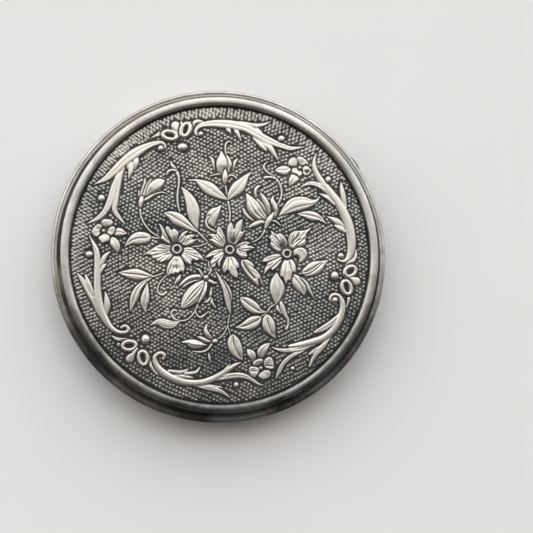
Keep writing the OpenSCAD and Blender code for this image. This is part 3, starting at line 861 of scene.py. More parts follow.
    # ---- small bud above the middle flower ----
    leaf((0.4, 12.6, .2), (-0.5, 11.4, 1.3), (-1.5, 10.3, 2.6), (-2.0, 9.0, 2.5), (-1.7, 7.6, 1.0),
        rib=.06)
    lobe((-2.8, 9.6, .5), (-3.4, 8.4, .6), (-3.1, 7.1, .6), (-2.2, 6.4, .55), (-1.1, 5.9, .5))

    # ---- lily bud, upper right ----
    stem((14.4, 12.4, .4), (15.1, 13.8, .5), (15.6, 15.4, .55), (15.4, 17.3, .6), (14.6, 18.9, .6),
        (13.3, 20.2, .6), (11.8, 21.2, .6), (11.1, 22.4, .6), (11.5, 23.3, .5), (12.3, 23.9, .2), top=.42)
    stem((14.0, 19.4, .5), (12.8, 19.8, .8), (11.5, 19.7, 1.0), top=.5)
    lobe((9.3, 14.4, .3), (9.0, 15.6, .6), (9.1, 16.6, .8), (9.6, 17.3, .8), (10.2, 17.6, .4))
    petal((13.7, 9.5, .4), (14.2, 11.0, .9), (13.9, 12.6, 1.2), (13.3, 13.8, 1.0), (13.4, 15.1, .2),
        top=.5)
    petal((12.5, 10.2, .5), (12.3, 11.6, 1.1), (11.9, 13.0, 1.3), (11.1, 14.5, 1.1), (10.2, 15.9, .2),
        flutes=1, top=.55)
    petal((11.6, 9.4, .8), (11.0, 11.3, 1.4), (10.3, 12.8, 1.2), (9.4, 14.3, .2), top=.66)
    petal((11.2, 9.3, 1.5), (9.7, 10.6, 3.0), (8.6, 12.1, 3.3), (7.7, 13.8, 2.1), (6.65, 15.6, .2),
        flutes=3, top=.78)
    lobe((6.0, 11.6, .6), (6.5, 10.5, .8), (7.4, 9.5, .8), (8.5, 8.75, .4))
    lobe((11.6, 8.3, .4), (10.4, 8.4, 1.0), (9.0, 7.9, 1.2), (7.5, 7.1, .5))
    lobe((12.5, 8.3, .4), (13.4, 8.8, .5), (14.4, 8.4, .5), (15.3, 7.6, .4))
    leaf((11.6, 7.0, .7), (12.1, 8.2, 1.1), (12.7, 9.4, 1.2), (13.7, 11.0, .2), rib=0, top=.6)
    # leaves right of the lily
    leaf((15.1, 10.2, .3), (16.8, 11.6, 1.9), (18.8, 12.9, 3.3), (21.0, 13.4, 3.0), (23.0, 13.5, 1.6),
        (24.4, 14.0, .8), (25.2, 15.1, .3), rib=.06, flutes=2)
    leaf((19.7, 10.6, .3), (21.6, 10.5, 1.6), (23.4, 10.1, 2.3), (25.1, 9.6, 1.3), (26.9, 8.2, .2),
        rib=.12)

    # ---- left leaves ----
    leaf((-17.6, 4.1, .6), (-18.6, 4.0, 2.4), (-20.3, 3.9, 3.0), (-22.1, 3.3, 1.8), (-23.8, 1.8, .2),
        rib=.12)
    leaf((-25.3, -4.9, .2), (-23.3, -5.1, 1.7), (-21.0, -5.3, 2.7), (-18.8, -5.6, 1.8), (-16.6, -5.8, .4),
        rib=.14)
    leaf((-17.2, -6.2, .3), (-19.2, -7.5, 1.1), (-20.6, -9.2, 1.7), (-21.4, -11.2, 1.9),
        (-22.0, -13.2, 1.0), (-22.3, -14.7, .2), rib=.12)
    leaf((-18.1, -7.4, .2), (-18.4, -9.4, 1.3), (-18.7, -11.6, 2.1), (-18.8, -13.3, 1.3),
        (-18.3, -15.1, .2), rib=.12)
    leaf((-10.0, -17.1, .3), (-11.8, -17.9, 1.7), (-13.6, -17.7, 2.3), (-15.2, -17.2, 1.4),
        (-17.4, -18.1, .25), rib=.12, flutes=2)

    # ---- lily flower, lower centre ----
    petal((-3.6, -6.6, .8), (-4.8, -8.2, 3.0), (-6.2, -9.9, 4.1), (-7.6, -11.5, 3.4), (-8.8, -13.0, 1.6),
        (-9.3, -13.7, .3), flutes=5, top=.6)
    petal((-3.3, -6.8, .5), (-3.5, -8.6, .9), (-4.2, -10.6, 1.0), (-5.3, -12.4, .3), top=.66)
    petal((-4.4, -6.2, .4), (-6.6, -6.6, .9), (-8.2, -7.4, .9), (-9.1, -8.4, .4), top=.5)
    petal((-3.8, -5.7, .7), (-5.6, -5.6, 1.2), (-7.6, -6.1, 1.3), (-9.2, -7.3, .9), (-10.1, -8.2, .3),
        flutes=2, top=.6)
    lobe((-4.1, -5.5, .6), (-4.7, -4.5, .6), (-5.2, -3.8, .55), (-5.9, -3.7, .3))
    lobe((-3.0, -6.2, .6), (-2.0, -6.9, .9), (-1.2, -7.2, .7), (-0.4, -7.1, .2))
    bead(-3.35, -5.8, .75, top=.66)
    # blade and fork below the middle flower
    lobe((-1.95, -8.3, .3), (-2.1, -9.6, .7), (-2.2, -10.8, .9), (-1.8, -12.2, .8), (-0.9, -13.5, .4),
        top=.4)
    lobe((-2.3, -11.0, .6), (-3.0, -11.9, .7), (-3.9, -12.1, .3), top=.4)
    leaf((0.8, -6.2, .3), (2.1, -8.2, .7), (2.9, -10.2, .7), (2.9, -12.5, .4), rib=0, top=.4)
    leaf((-0.9, -4.2, .2), (0.2, -6.2, .7), (1.3, -8.6, 1.0), (1.9, -10.8, 1.3), (2.4, -13.0, 1.1),
        (2.8, -14.9, .3), rib=.1, top=.5)

    # ---- lower bud flower ----
    petal((-3.2, -22.9, .4), (-4.8, -22.8, 1.7), (-6.4, -22.7, 2.4), (-7.8, -22.3, 1.4), (-9.4, -22.3, .3),
        flutes=2, top=.62)
    petal((-1.9, -22.1, .5), (-3.3, -21.8, 1.1), (-4.4, -21.2, .9), (-5.5, -20.8, .25), top=.55)
    petal((-1.7, -21.5, .6), (-2.7, -20.5, 1.2), (-3.4, -19.2, 1.0), (-3.1, -17.7, .4), top=.6)
    lobe((-1.8, -22.6, .6), (-2.8, -24.0, .6), (-4.5, -24.7, .6), (-6.7, -24.5, .25))
    lobe((-2.6, -24.9, .3), (-2.4, -26.2, .7), (-2.0, -27.7, .2), top=.4)
    bead(-1.0, -21.9, .85, .75, top=.66)
    leaf((3.5, -20.8, 1.3), (3.7, -22.2, 2.9), (4.3, -24.0, 3.0), (5.1, -25.4, 1.8), (5.9, -26.6, .3),
        rib=.1, dish=.1)

    # ---- sprig of three leaves ----
    leaf((5.4, -10.8, .4), (6.9, -12.0, 2.4), (8.5, -13.2, 2.7), (10.0, -14.1, 1.3), (11.8, -14.4, .3),
        rib=.1, dish=.08)
    leaf((10.4, -15.7, .4), (9.6, -16.4, 2.0), (8.4, -17.1, 2.9), (7.0, -17.8, 2.3), (5.4, -18.2, 1.0),
        (4.2, -18.3, .3), rib=.1, dish=.08)
    leaf((12.1, -15.0, .3), (12.2, -16.4, 2.3), (12.6, -18.0, 2.9), (13.3, -19.6, 1.5), (14.3, -21.0, .25),
        rib=.1, dish=.08)
    # curly bud
    lobe((14.6, -12.6, .4), (14.8, -13.6, .9), (15.6, -14.5, .8), top=.5)
    lobe((15.3, -11.4, .4), (15.9, -13.0, 1.2), (16.5, -14.8, 1.0), (17.3, -16.2, .65), (17.4, -17.5, .55),
        (17.0, -18.5, .8))

    # ---- leaf at the lower right of the middle flower ----
    relief.plate([(5.5, -1.3), (6.8, -1.0), (8.1, -1.6), (8.9, -2.7), (8.7, -3.2), (9.5, -3.8),
        (10.3, -5.0), (10.8, -6.6), (11.6, -8.1), (10.5, -7.2), (10.0, -6.2), (9.9, -8.1), (8.2, -6.7),
        (6.6, -4.9), (5.5, -3.0)], top=.55, edge=.45)
    crease([(5.9, -1.7, .4), (7.2, -3.9, .5), (8.9, -5.9, .3)], .4)
    crease([(7.4, -2.6, .2), (8.6, -3.3, .2)], .12)
    crease([(8.3, -4.0, .2), (9.4, -4.8, .2)], .12)
    # ---- leaves of the right flower ----
    leaf((20.6, -4.5, .3), (22.3, -3.9, 2.3), (24.0, -3.1, 3.2), (25.6, -2.2, 1.8), (27.3, -1.0, .2),
        rib=0)
    stem((20.2, -4.5, .4), (22.3, -4.2, .5), (24.2, -3.0, .45), (25.6, -1.9, .25), top=.62)
    leaf((18.2, -4.6, .6), (19.4, -6.2, 2.4), (20.4, -7.5, 2.8), (21.1, -8.8, 1.7), (21.3, -9.9, .4),
        rib=.14)
    lobe((20.6, -5.6, .5), (22.0, -7.0, .8), (22.8, -8.8, .75), (23.9, -10.7, .25), top=.5)
    leaf((14.4, -4.6, .5), (14.4, -6.4, 2.4), (14.6, -8.2, 3.5), (14.6, -10.0, 2.6), (14.3, -12.5, .2),
        rib=.1, flutes=3)

    # ---- left flower ----
    def bloom(heart, outline, dip=(), veins=38):
        turn = outline[1][0] * 3
        relief.plate(outline, heart, top=0.62, veins=veins, turn=turn, dip=dip, base=0.35, cut=0.075)

    left, middle, right = (-10.71, 1.24), (2.58, 1.25), (16.98, 0.55)
    leaf((-9.8, -5.2, .3), (-10.4, -6.4, .9), (-11.2, -7.7, .3), rib=0, top=.4)
    bloom(left, [(-12.2, 2.2), (-12.7, 3.9), (-13.4, 5.3), (-14.0, 6.6), (-14.8, 7.6), (-15.4, 7.6),
        (-14.9, 6.1), (-14.6, 4.8), (-14.9, 3.8), (-13.8, 3.1)], veins=20)
    bloom(left, [(-11.4, -0.4), (-12.6, -1.7), (-13.3, -3.3), (-13.4, -4.9), (-12.9, -6.0), (-12.3, -5.3),
        (-11.6, -5.4), (-11.0, -4.9), (-10.3, -5.1), (-9.7, -4.5), (-9.1, -5.0), (-8.6, -3.7),
        (-8.9, -2.2), (-9.9, -0.5)], dip=[(-10.9, -3.4, .8, .3), (-11.0, -1.8, .6, .15)])
    bloom(left, [(-12.0, 1.9), (-13.2, 2.4), (-14.6, 2.6), (-16.2, 1.9), (-17.8, 0.8), (-19.6, -0.5),
        (-18.2, -0.3), (-17.2, -0.7), (-16.9, -1.3), (-16.2, -1.4), (-15.8, -2.0), (-14.6, -2.3),
        (-13.0, -1.7), (-11.7, -0.4)], dip=[(-13.4, 0.3, .8, .15)])
    bloom(left, [(-10.6, 2.8), (-10.4, 4.2), (-10.2, 5.4), (-10.7, 6.1), (-11.5, 6.6), (-12.1, 6.2),
        (-12.7, 7.0), (-13.5, 7.1), (-13.7, 6.2), (-13.1, 4.9), (-12.2, 3.5), (-11.6, 2.7)],
        dip=[(-11.2, 3.3, .6, .2)])
    bloom(left, [(-10.4, 2.8), (-10.3, 4.2), (-9.4, 5.5), (-8.2, 6.1), (-7.8, 5.6), (-8.6, 4.8),
        (-7.5, 5.1), (-6.3, 5.0), (-6.1, 4.5), (-6.9, 4.0), (-5.8, 3.9), (-4.8, 4.2), (-6.0, 3.3),
        (-6.5, 2.6), (-7.4, 2.2), (-9.2, 2.0)])
    bloom(left, [(-9.4, 1.3), (-8.3, 1.9), (-7.0, 1.8), (-5.8, 1.0), (-4.5, -0.2), (-3.7, -1.8),
        (-5.0, -1.5), (-5.8, -1.9), (-6.7, -1.6), (-7.1, -2.8), (-8.2, -2.5), (-9.2, -1.3), (-9.7, -0.2)])
    crease([(-12.6, 0.9, .2), (-14.8, 1.2, .25), (-17.0, 0.5, .15)], .12)
    crease([(-12.3, 0.1, .2), (-14.4, -0.3, .25), (-16.2, -0.6, .15)], .12)
    crease([(-11.9, 3.4, .2), (-12.4, 4.8, .3), (-12.5, 6.0, .25)], .15)
    crease([(-9.9, 3.1, .2), (-9.2, 4.1, .25), (-8.4, 4.8, .2)], .15)
    crease([(-9.6, 2.6, .2), (-8.2, 3.4, .25), (-6.8, 3.9, .2)], .15)
    eye(-10.71, 1.24, .99, .62)

    # ---- middle flower ----
    bloom(middle, [(2.2, 2.8), (1.8, 4.4), (1.75, 6.0), (2.0, 7.4), (2.8, 8.3), (3.4, 7.7), (3.7, 6.6),
        (4.0, 7.7), (4.7, 8.6), (5.8, 9.2), (5.8, 7.4), (5.6, 6.0), (6.5, 6.4), (6.0, 5.0), (5.0, 3.6),
        (4.2, 2.6), (3.2, 2.4)], dip=[(3.5, 3.5, .75, .4)])
    bloom(middle, [(3.9, 2.0), (4.5, 2.7), (5.7, 3.4), (6.8, 3.5), (7.9, 3.1), (7.2, 2.5), (8.0, 2.4),
        (9.0, 1.9), (8.0, 1.2), (6.9, .7), (7.1, 0.0), (6.8, -.7), (5.6, -.7), (4.6, 0.0), (4.0, .8)],
        dip=[(4.7, 1.9, .6, .25)])
    bloom(middle, [(1.9, -.4), (1.0, -1.8), (.6, -3.2), (.8, -4.3), (1.4, -4.8), (2.1, -4.0), (2.6, -4.9),
        (3.4, -5.6), (4.5, -6.1), (4.8, -4.9), (4.4, -3.6), (5.1, -3.4), (4.9, -2.1), (4.1, -.9),
        (3.3, -.3)])
    bloom(middle, [(1.3, 1.5), (0.0, 1.6), (-1.6, 1.1), (-3.0, .1), (-3.8, -.9), (-2.7, -1.0), (-1.7, -.5),
        (-2.4, -1.8), (-1.9, -3.5), (-1.0, -3.1), (-.6, -2.1), (-.4, -3.0), (.1, -3.3), (.4, -1.8),
        (1.2, -.2), (1.6, .6)])
    bloom(middle, [(1.5, 2.5), (1.7, 3.6), (1.2, 5.2), (.5, 6.6), (-.2, 7.2), (-.8, 6.3), (-.9, 5.2),
        (-1.9, 5.4), (-3.0, 5.0), (-1.9, 4.2), (-2.8, 3.8), (-1.6, 2.6), (-.2, 1.9), (1.0, 1.8)])
    crease([(3.5, 4.2, .3), (3.7, 5.6, .3), (3.7, 6.8, .2)], .2)
    crease([(4.2, 3.8, .2), (4.9, 5.2, .3), (5.5, 6.2, .2)], .15)
    crease([(4.9, 1.2, .3), (5.9, .8, .3), (6.9, .6, .2)], .2)
    crease([(4.8, 2.3, .2), (6.0, 2.6, .25), (7.2, 2.6, .2)], .12)
    crease([(2.3, -.8, .3), (2.2, -2.4, .3), (2.1, -4.0, .2)], .2)
    crease([(3.0, -1.0, .3), (3.5, -2.4, .3), (4.4, -3.6, .2)], .2)
    crease([(1.3, .8, .2), (-.2, .3, .3), (-1.8, -.5, .2)], .18)
    crease([(1.2, .2, .2), (.2, -.8, .3), (-.5, -2.0, .25)], .2)
    crease([(1.2, 2.7, .2), (.3, 3.9, .3), (-.8, 5.1, .2)], .18)
    crease([(.9, 2.3, .2), (-.5, 3.3, .3), (-1.9, 4.1, .2)], .15)
    eye(2.58, 1.25, .93, .58)

    # ---- right flower ----
    bloom(right, [(16.5, -.9), (15.6, -2.3), (15.2, -4.0), (15.2, -5.2), (16.0, -5.8), (16.9, -7.7),
        (17.3, -6.5), (18.1, -6.3), (18.5, -4.4), (19.3, -4.4), (19.3, -2.6), (18.6, -1.2), (18.0, -.8)])
    bloom(right, [(15.7, .3), (14.2, .5), (12.4, 0.0), (11.1, -.7), (10.7, -1.7), (11.9, -2.1),
        (11.3, -3.4), (11.2, -5.1), (12.2, -4.1), (12.8, -3.5), (13.3, -4.0), (14.4, -3.2), (15.4, -1.8),
        (16.0, -.6)])
    bloom(right, [(17.5, 2.4), (17.2, 4.0), (17.7, 5.6), (18.9, 6.4), (20.5, 6.5), (21.9, 6.8),
        (23.2, 7.5), (22.6, 6.1), (21.9, 5.4), (22.1, 4.6), (21.7, 4.1), (21.9, 3.4), (21.3, 2.5),
        (19.8, 2.4), (18.7, 1.7), (18.1, 1.9)])
    bloom(right, [(16.9, 2.3), (17.2, 3.0), (16.8, 4.2), (16.1, 5.2), (15.2, 5.8), (14.3, 5.5),
        (12.9, 6.4), (12.9, 5.3), (12.3, 4.7), (12.8, 3.7), (12.7, 2.6), (13.4, 1.6), (14.6, .9),
        (15.6, 1.1)], dip=[(15.7, 2.3, .85, .45)])
    relief.plate([(18.4, 1.2), (19.6, 2.2), (20.9, 2.3), (21.9, 1.6), (22.3, .4), (21.8, -.8),
        (21.0, -1.6), (19.9, -1.9), (20.0, -.9), (19.6, -.2), (19.0, -.1), (18.7, -.4), (18.5, .3)],
        top=.62, edge=.5)
    for r in (1.1, 1.65, 2.2):
        crease([(19.3 + r * math.cos(a), -.8 + r * math.sin(a), .2) for a in (2.2, 1.6, 1.0, .4, -.2)], .1)
    relief.dome(19.25, -.85, .5, .6, top=-.1)
    crease([(18.0, 2.9, .3), (18.9, 4.2, .35), (20.2, 5.3, .2)], .25)
    crease([(18.3, 2.6, .25), (19.3, 3.6, .3), (20.6, 4.2, .2)], .18)
    crease([(15.0, 3.4, .25), (14.2, 4.4, .3), (13.1, 5.2, .2)], .15)
    crease([(14.8, 2.6, .2), (13.9, 3.2, .25), (12.9, 3.8, .2)], .1)
    crease([(15.6, -.2, .25), (13.8, -1.2, .35), (12.0, -2.1, .2)], .2)
    crease([(15.9, -.7, .25), (14.4, -2.1, .35), (12.9, -3.4, .2)], .2)
    crease([(16.6, -1.4, .25), (16.4, -3.6, .3), (16.2, -5.8, .2)], .15)
    crease([(17.6, -1.4, .25), (18.1, -3.2, .3), (18.5, -4.6, .2)], .2)
    eye(16.98, 0.53, .93, .58)
    return relief


# ---------------------------------------------------------------- embossed panel
def bead_ground(relief):
    """Small punched beads wherever there is no motif, in wavy staggered rows."""
    pitch, jitter, radius, height, out_to = 0.98, 0.12, 0.51, 0.22, 37.5
    rng = np.random.default_rng(SEED)
    grid = np.zeros_like(relief.h)
    reach = int(0.8 / PITCH) + 1
    step = np.arange(-reach, reach + 1)
    rows, columns = np.meshgrid(step, step, indexing="ij")
    for i, u in enumerate(np.arange(-HALF, HALF, pitch * 0.866)):
        for v in np.arange(-HALF, HALF, pitch) + (i % 2) * pitch / 2:
            bu = u + rng.uniform(-jitter, jitter) + 1.1 * math.sin(v * 0.17 + u * 0.07)
            bv = v + rng.uniform(-jitter, jitter) + 1.3 * math.sin(u * 0.13 + 0.8)
            size = rng.uniform(0.88, 1.12)
            r = math.hypot(bu, bv)
            if r > out_to:
                continue
            a, b = round((bu + HALF) / PITCH), round((bv + HALF) / PITCH)
            room = -relief.near[b, a]
            if room < 0.26:
                continue
            # beads near the edge are longer outwards in the upper left
            upper = min(max(0.3 + (bv - 0.6 * bu) / 20, 0), 1)
            long = 1 + 0.8 * upper * min(max((r - 33.5) / 2.5, 0), 1)
            du, dv = (a + columns) * PITCH - HALF - bu, (b + rows) * PITCH - HALF - bv
            out = (du * bu + dv * bv) / r / long
            side = (du * bv - dv * bu) / r
            d = np.hypot(out, side) / (radius * size)
            bead = height * min(1, room / 0.4) * (1 - np.clip(d, 0, 1) ** 2.4)
            win = grid[b - reach:b + reach + 1, a - reach:a + reach + 1]
            np.maximum(win, bead, out=win)
    return grid


def sample(grid, u, v):
    """Bilinear reading of a grid at design points."""
    x, y = (u + HALF) / PITCH, (v + HALF) / PITCH
    i, j = np.clip(x.astype(int), 0, GRID - 2), np.clip(y.astype(int), 0, GRID - 2)
    fx, fy = x - i, y - j
    low = grid[j, i] * (1 - fx) + grid[j, i + 1] * fx
    high = grid[j + 1, i] * (1 - fx) + grid[j + 1, i + 1] * fx
    return low * (1 - fy) + high * fy


EDGE_R = 37.85
TURN_R = 37.2
SEAT_Z = 10.05
CROWN_FOOT_Z, CROWN = 10.55, 0.65
DRAWING_TURN = math.radians(125)
LEAN = 0.6


def disc_mesh(radius, step):
    """Rings of nearly equal triangles out to a radius."""
    count = round(radius / step)
    points = [np.zeros((1, 2))]
    faces = []
    start = 1
    before = 0
    for k in range(1, count + 1):
        t = np.arange(6 * k) * (2 * math.pi / (6 * k))
        r = radius * k / count
        points.append(np.stack([r * np.cos(t), r * np.sin(t)], 1))
        i = np.arange(k)
        for s in range(6):
            inner = before + (s * (k - 1) + i) % max(6 * (k - 1), 1)
            outer = start + (s * k + i) % (6 * k)
            outer_next = start + (s * k + i + 1) % (6 * k)
            faces.append(np.stack([inner, outer, outer_next], 1))
            if k > 1:
                inner_next = before + (s * (k - 1) + i[:-1] + 1) % (6 * (k - 1))
                faces.append(np.stack([inner[:-1], outer_next[:-1], inner_next], 1))
        before = start
        start += 6 * k
    return np.concatenate(points), np.concatenate(faces), 6 * count


def bake_layout(ob, top, under, rim):
    """Lays the face of the panel flat in the texture, with its wall and underside beside it."""
    k = np.repeat(np.arange(rim), 3)
    turn = np.tile([0, 0, 1], rim)
    high = np.tile([1, 0, 0], rim)
    wall_one = np.stack([0.01 + 0.93 * (k + turn) / rim, 0.96 + 0.03 * high], 1)
    turn = np.tile([0, 1, 1], rim)
    high = np.tile([1, 0, 1], rim)
    wall_two = np.stack([0.01 + 0.93 * (k + turn) / rim, 0.96 + 0.03 * high], 1)
    face = 0.01 + 0.93 * (top / (2 * EDGE_R) + 0.5)
    back = 0.955 + 0.04 * (under / (2 * EDGE_R) + 0.5)
    layer = ob.data.uv_layers.new(name="OFBake")
    layer.data.foreach_set("uv", np.concatenate([face, wall_one, wall_two, back]).astype(np.float32).ravel())


def ramp(value, low, high):
    """0 below low and 1 above high, with a smooth step between."""
    t = np.clip((value - low) / (high - low), 0, 1)
    return t * t * (3 - 2 * t)


def painted_shade_share(p):
    """Share of painted shade on the side away from the light, greatest on the left back of the case."""
    return ramp(-(p[:, 0] * UP_X + p[:, 1] * UP_Y) / 42, -0.1, 0.9)


def panel_picture():
    """Height and polish of the drawing on its grid."""
    relief = motifs()
    height = np.where(relief.near < 0.0, relief.h + bead_ground(relief), relief.h)
    recess = blur(height, 0.4) - height
    # The rings' holes get no polish: painted shade.
    inside = np.clip(relief.near / 0.08, 0, 1) * (1 - relief.dark)
    motif = 0.62 + 0.4 * np.clip((height - 0.12) / 0.25, 0, 1) - 0.6 * np.clip(recess / 0.07, 0, 1)
    ground = 0.1 + 0.5 * np.clip((height - 0.06) / 0.14, 0, 1) - 0.3 * np.clip(recess / 0.06, 0, 1)
    return height, np.clip(0.04 + np.where(relief.near > 0, motif * inside, ground), 0, 1)


def embossed_panel():
    height, polish = panel_picture()
    step = 0.15
    flat, faces, rim = disc_mesh(EDGE_R, step)
    x, y = flat[:, 0], flat[:, 1]
    c, s = math.cos(DRAWING_TURN), math.sin(DRAWING_TURN)
    u, v = c * x - s * y, s * x + c * y
    r = np.hypot(x, y)
    # The motifs were drawn from a close-up of the photo. This undoes its foreshortening, which is
    # greatest in the middle.
    lean = LEAN * (u + v) / 37.9**2
    u, v = u + LEAN - lean * u, v + LEAN - lean * v
    ground = CROWN_FOOT_Z + CROWN * (1 - np.clip(r / TURN_R, 0, 1) ** 2)
    turned = np.clip((r - 37.25) / 0.6, 0, 1) ** 1.6
    z = ground + sample(height, u, v) * (1 - turned) - 0.25 * turned
    shine = sample(polish, u, v) * (1 - np.clip((r - TURN_R) / 0.5, 0, 1))
    # Painted light: the band at the panel's edge, in the ring's shadow, is lifted.
    # Painted shade: the side of the panel away from the light is darker.
    shine = shine + 0.05 + 0.1 * np.clip((r - 37.1) / 0.5, 0, 1) - 0.18 * painted_shade_share(flat)
    top = np.stack([x, y, z], 1)
    last = np.arange(len(top) - rim, len(top))
    skirt = top[last].copy()
    skirt[:, 2] = SEAT_Z
    middle = np.array([[0.0, 0.0, SEAT_Z]])
    points = np.concatenate([top, skirt, middle])
    low = len(top) + np.arange(rim)
    after = np.roll(np.arange(rim), -1)
    wall = np.concatenate([
        np.stack([last, low, low[after]], 1),
        np.stack([last, low[after], last[after]], 1),
        np.stack([low[after], low, np.full(rim, len(points) - 1)], 1),
    ])
    faces_all = np.concatenate([faces, wall])
    ob = mesh_piece("embossed_relief", points, faces_all, PATINA, "lid")
    point_values(ob, "polish", np.concatenate([shine, np.zeros(rim + 1)]))
    bake_layout(ob, top[faces.ravel(), :2], points[wall[2 * rim:].ravel(), :2], rim)
    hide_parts("embossed_panel")


embossed_panel()


# ---------------------------------------------------------------- turned case parts
def tidy_normals(ob, weld=False):
    """Turns every face outwards, after welding points that lie together if wanted."""
    bm = bmesh.new()
    bm.from_mesh(ob.data)
    if weld:
        bmesh.ops.remove_doubles(bm, verts=bm.verts, dist=1e-6)
    bmesh.ops.recalc_face_normals(bm, faces=bm.faces)
    bm.to_mesh(ob.data)
    bm.free()


AROUND = 320
WALL_R = 41.6
HINGE_Y, HINGE_Z = 41.2, 6.0
POCKET_X, POCKET_Y = 5.8, 39.95
# Heights at which the parts lie on one another, from the table up.
BASE_Z, WELL_Z, PAN_Z, DECK_Z = 0.9, 1.3, 1.6, 6.6
MIRROR_Z, SHELF_Z = 8.3, 9.7
SKIRT_R, SKIRT_Z = 40.5, 6.1
RING_R, RING_Z, RING_RADIUS = 38.95, 10.95, 1.05


def lid_frame():
    lip = arc(41.7, 7.9, 0.8, -97, 88, 16)
    cove = arc(41.2, 10.0, 1.55, 302, 190, 18)
    ring = []
    for cr, cz in arc(0, 0, 1.0, -50, 180, 30):
        # a power below 1 squares the round moulding a little
        across, up = math.copysign(abs(cr) ** 0.72, cr), math.copysign(abs(cz) ** 0.72, cz)
        ring.append((RING_R + RING_RADIUS * across, RING_Z + RING_RADIUS * up))
    outline = [(SKIRT_R, SKIRT_Z), (WALL_R, SKIRT_Z), *lip, *cove, *ring]
    outline += [(37.9, SEAT_Z), (35.5, SEAT_Z), (35.5, SHELF_Z), (37.9, SHELF_Z), (37.9, 8.3), (SKIRT_R, 8.3)]
    ob = lathe("lid_frame_turned", soften(outline, 0.12), CASE, "lid", AROUND)
    tidy_normals(ob)
    cut_box(ob, (-POCKET_X, POCKET_Y, 5.0), (POCKET_X, 46, 7.1))
    cut_box(ob, (-2.5, -40.8, 6.85), (2.5, -40.0, 7.55))
    crisp(ob)
    p = points_mm(ob)
    r, z = np.hypot(p[:, 0], p[:, 1]), p[:, 2]
    ring_part = (r < 40.25) & (z > 9.9)
    value = np.full_like(r, 0.3)
    value = np.where(r > 40.0, 0.1 * ramp(z, 8.6, 9.6) - 0.06, value)
    value = np.where((r > 41.0) & (z < 8.9), 0.06 + 0.74 * ramp(z, 7.9, 8.5), value)
    value = np.where(ring_part, 0.1 + 0.75 * ramp(z, 10.7, 11.4), value)
    value = np.where((r < 38.4) & (z > 9.9), 0.55 + 0.3 * ramp(z, 10.6, 11.2), value)
    value = np.where((z < 7.3) & (r > 41.0), 0.16, value)
    # Painted shade on the side away from the light, strongest on the ring's outer part.
    painted_shade_depth = np.where(ring_part, 0.45 + 0.55 * ramp(r, 38.4, 39.6), 0.78)
    point_values(ob, "polish", value - painted_shade_depth * painted_shade_share(p))
    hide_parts("lid_frame")


def base_shell():
    outline = [(0, 0.1), (30.2, 0.1), (30.6, 0.0), (38.2, 0.0), *arc(38.2, 3.4, 3.4, -90, 0, 18)[1:]]
    outline += [(WALL_R, 5.85), (40.7, 5.85), (40.7, 3.4), *arc(38.2, 3.4, 2.5, 0, -90, 14)[1:], (0, BASE_Z)]
    ob = lathe("base_shell_turned", soften(outline, 0.14), CASE, "root", AROUND)
    tidy_normals(ob)
    cut_box(ob, (-POCKET_X, POCKET_Y, 4.9), (POCKET_X, 46, 14))
    crisp(ob)
    p = points_mm(ob)
    r, z = np.hypot(p[:, 0], p[:, 1]), p[:, 2]
    value = 0.24 + 0.25 * ramp(r, 34, 38) * (1 - ramp(z, 0.5, 3.0)) + 0.2 * ramp(z, 5.5, 5.85)
    # Painted shade: the side of the base away from the light is darker.
    point_values(ob, "polish", value - 0.45 * painted_shade_share(p))
    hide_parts("base_shell")


def groove(radius, z):
    """Shallow turned line in a flat top, outer side first."""
    return [(radius + 0.2, z), (radius + 0.1, z - 0.08), (radius - 0.1, z - 0.08), (radius - 0.2, z)]


def turned(name, node, outline, material, body, slot, radius=0.08):
    """A turned part with corners rounded by the radius, in place of a CAD node."""
    ob = lathe(name, soften(outline, radius), material, body, AROUND)
    tidy_normals(ob)
    crisp(ob)
    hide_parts(node)
    return ob


lid_frame()
base_shell()

collar = turned(
    "collar_turned", "base_collar",
    [(39.6, 3.4), (40.68, 3.4), (40.68, 5.3), (40.2, 5.3), (40.2, 7.8), (40.05, 8.0), (39.6, 8.0)],
    BRIGHT, "root", "bright_silver",
)
cut_box(collar, (-POCKET_X, POCKET_Y, 4.9), (POCKET_X, 46, 14))
crisp(collar)
turned(
    "deck_turned", "inner_deck",
    [(33.25, 6.2), (37.6, 6.2), (37.6, BASE_Z), (38.1, BASE_Z), (38.1, 6.2), (39.55, 6.2), (39.55, DECK_Z),
     *groove(38.7, DECK_Z), *groove(34.5, DECK_Z), (33.25, DECK_Z)],
    GILT, "root", "gilt_brass", 0.05,
)
turned(
    "well_turned", "powder_well",
    [(0, BASE_Z), (33.2, BASE_Z), (33.2, DECK_Z), (32.7, DECK_Z), (32.7, WELL_Z), (0, WELL_Z)],
    GILT, "root", "gilt_brass", 0.15,
)
turned(
    "pan_turned", "powder_pan",
    [(0, WELL_Z), (32.5, WELL_Z), (32.5, 3.4), (32.2, 3.4), (32.2, PAN_Z), (0, PAN_Z)],
    TINNED, "root", "tinned_steel", 0.12,
)
turned(
    "cake_pressed", "powder_cake",
    [(0, PAN_Z), (32.15, PAN_Z), (32.15, 3.35), (31.8, 3.55), (30.5, 3.6), (24, 3.55), (0, 3.5)],
    POWDER, "root", "pressed_powder", 0.2,
)
turned(
    "bezel_turned", "mirror_bezel",
    [(34.8, 8.05), (35.1, 7.9), (36.4, 7.9), (36.6, 7.98), (37.0, 7.98), (37.2, 7.9), (37.85, 7.9),
     (37.85, SHELF_Z), (36.35, SHELF_Z), (36.35, MIRROR_Z), (34.8, MIRROR_Z)],
    GILT, "lid", "gilt_brass", 0.06,
)
turned(
    "mirror_bevelled", "mirror_glass",
    [(0, MIRROR_Z), (33.2, MIRROR_Z), (34.85, 8.42), (36.3, 8.42), (36.3, 9.4), (0, 9.4)],
    MIRROR, "lid", "mirror", 0.02,
)
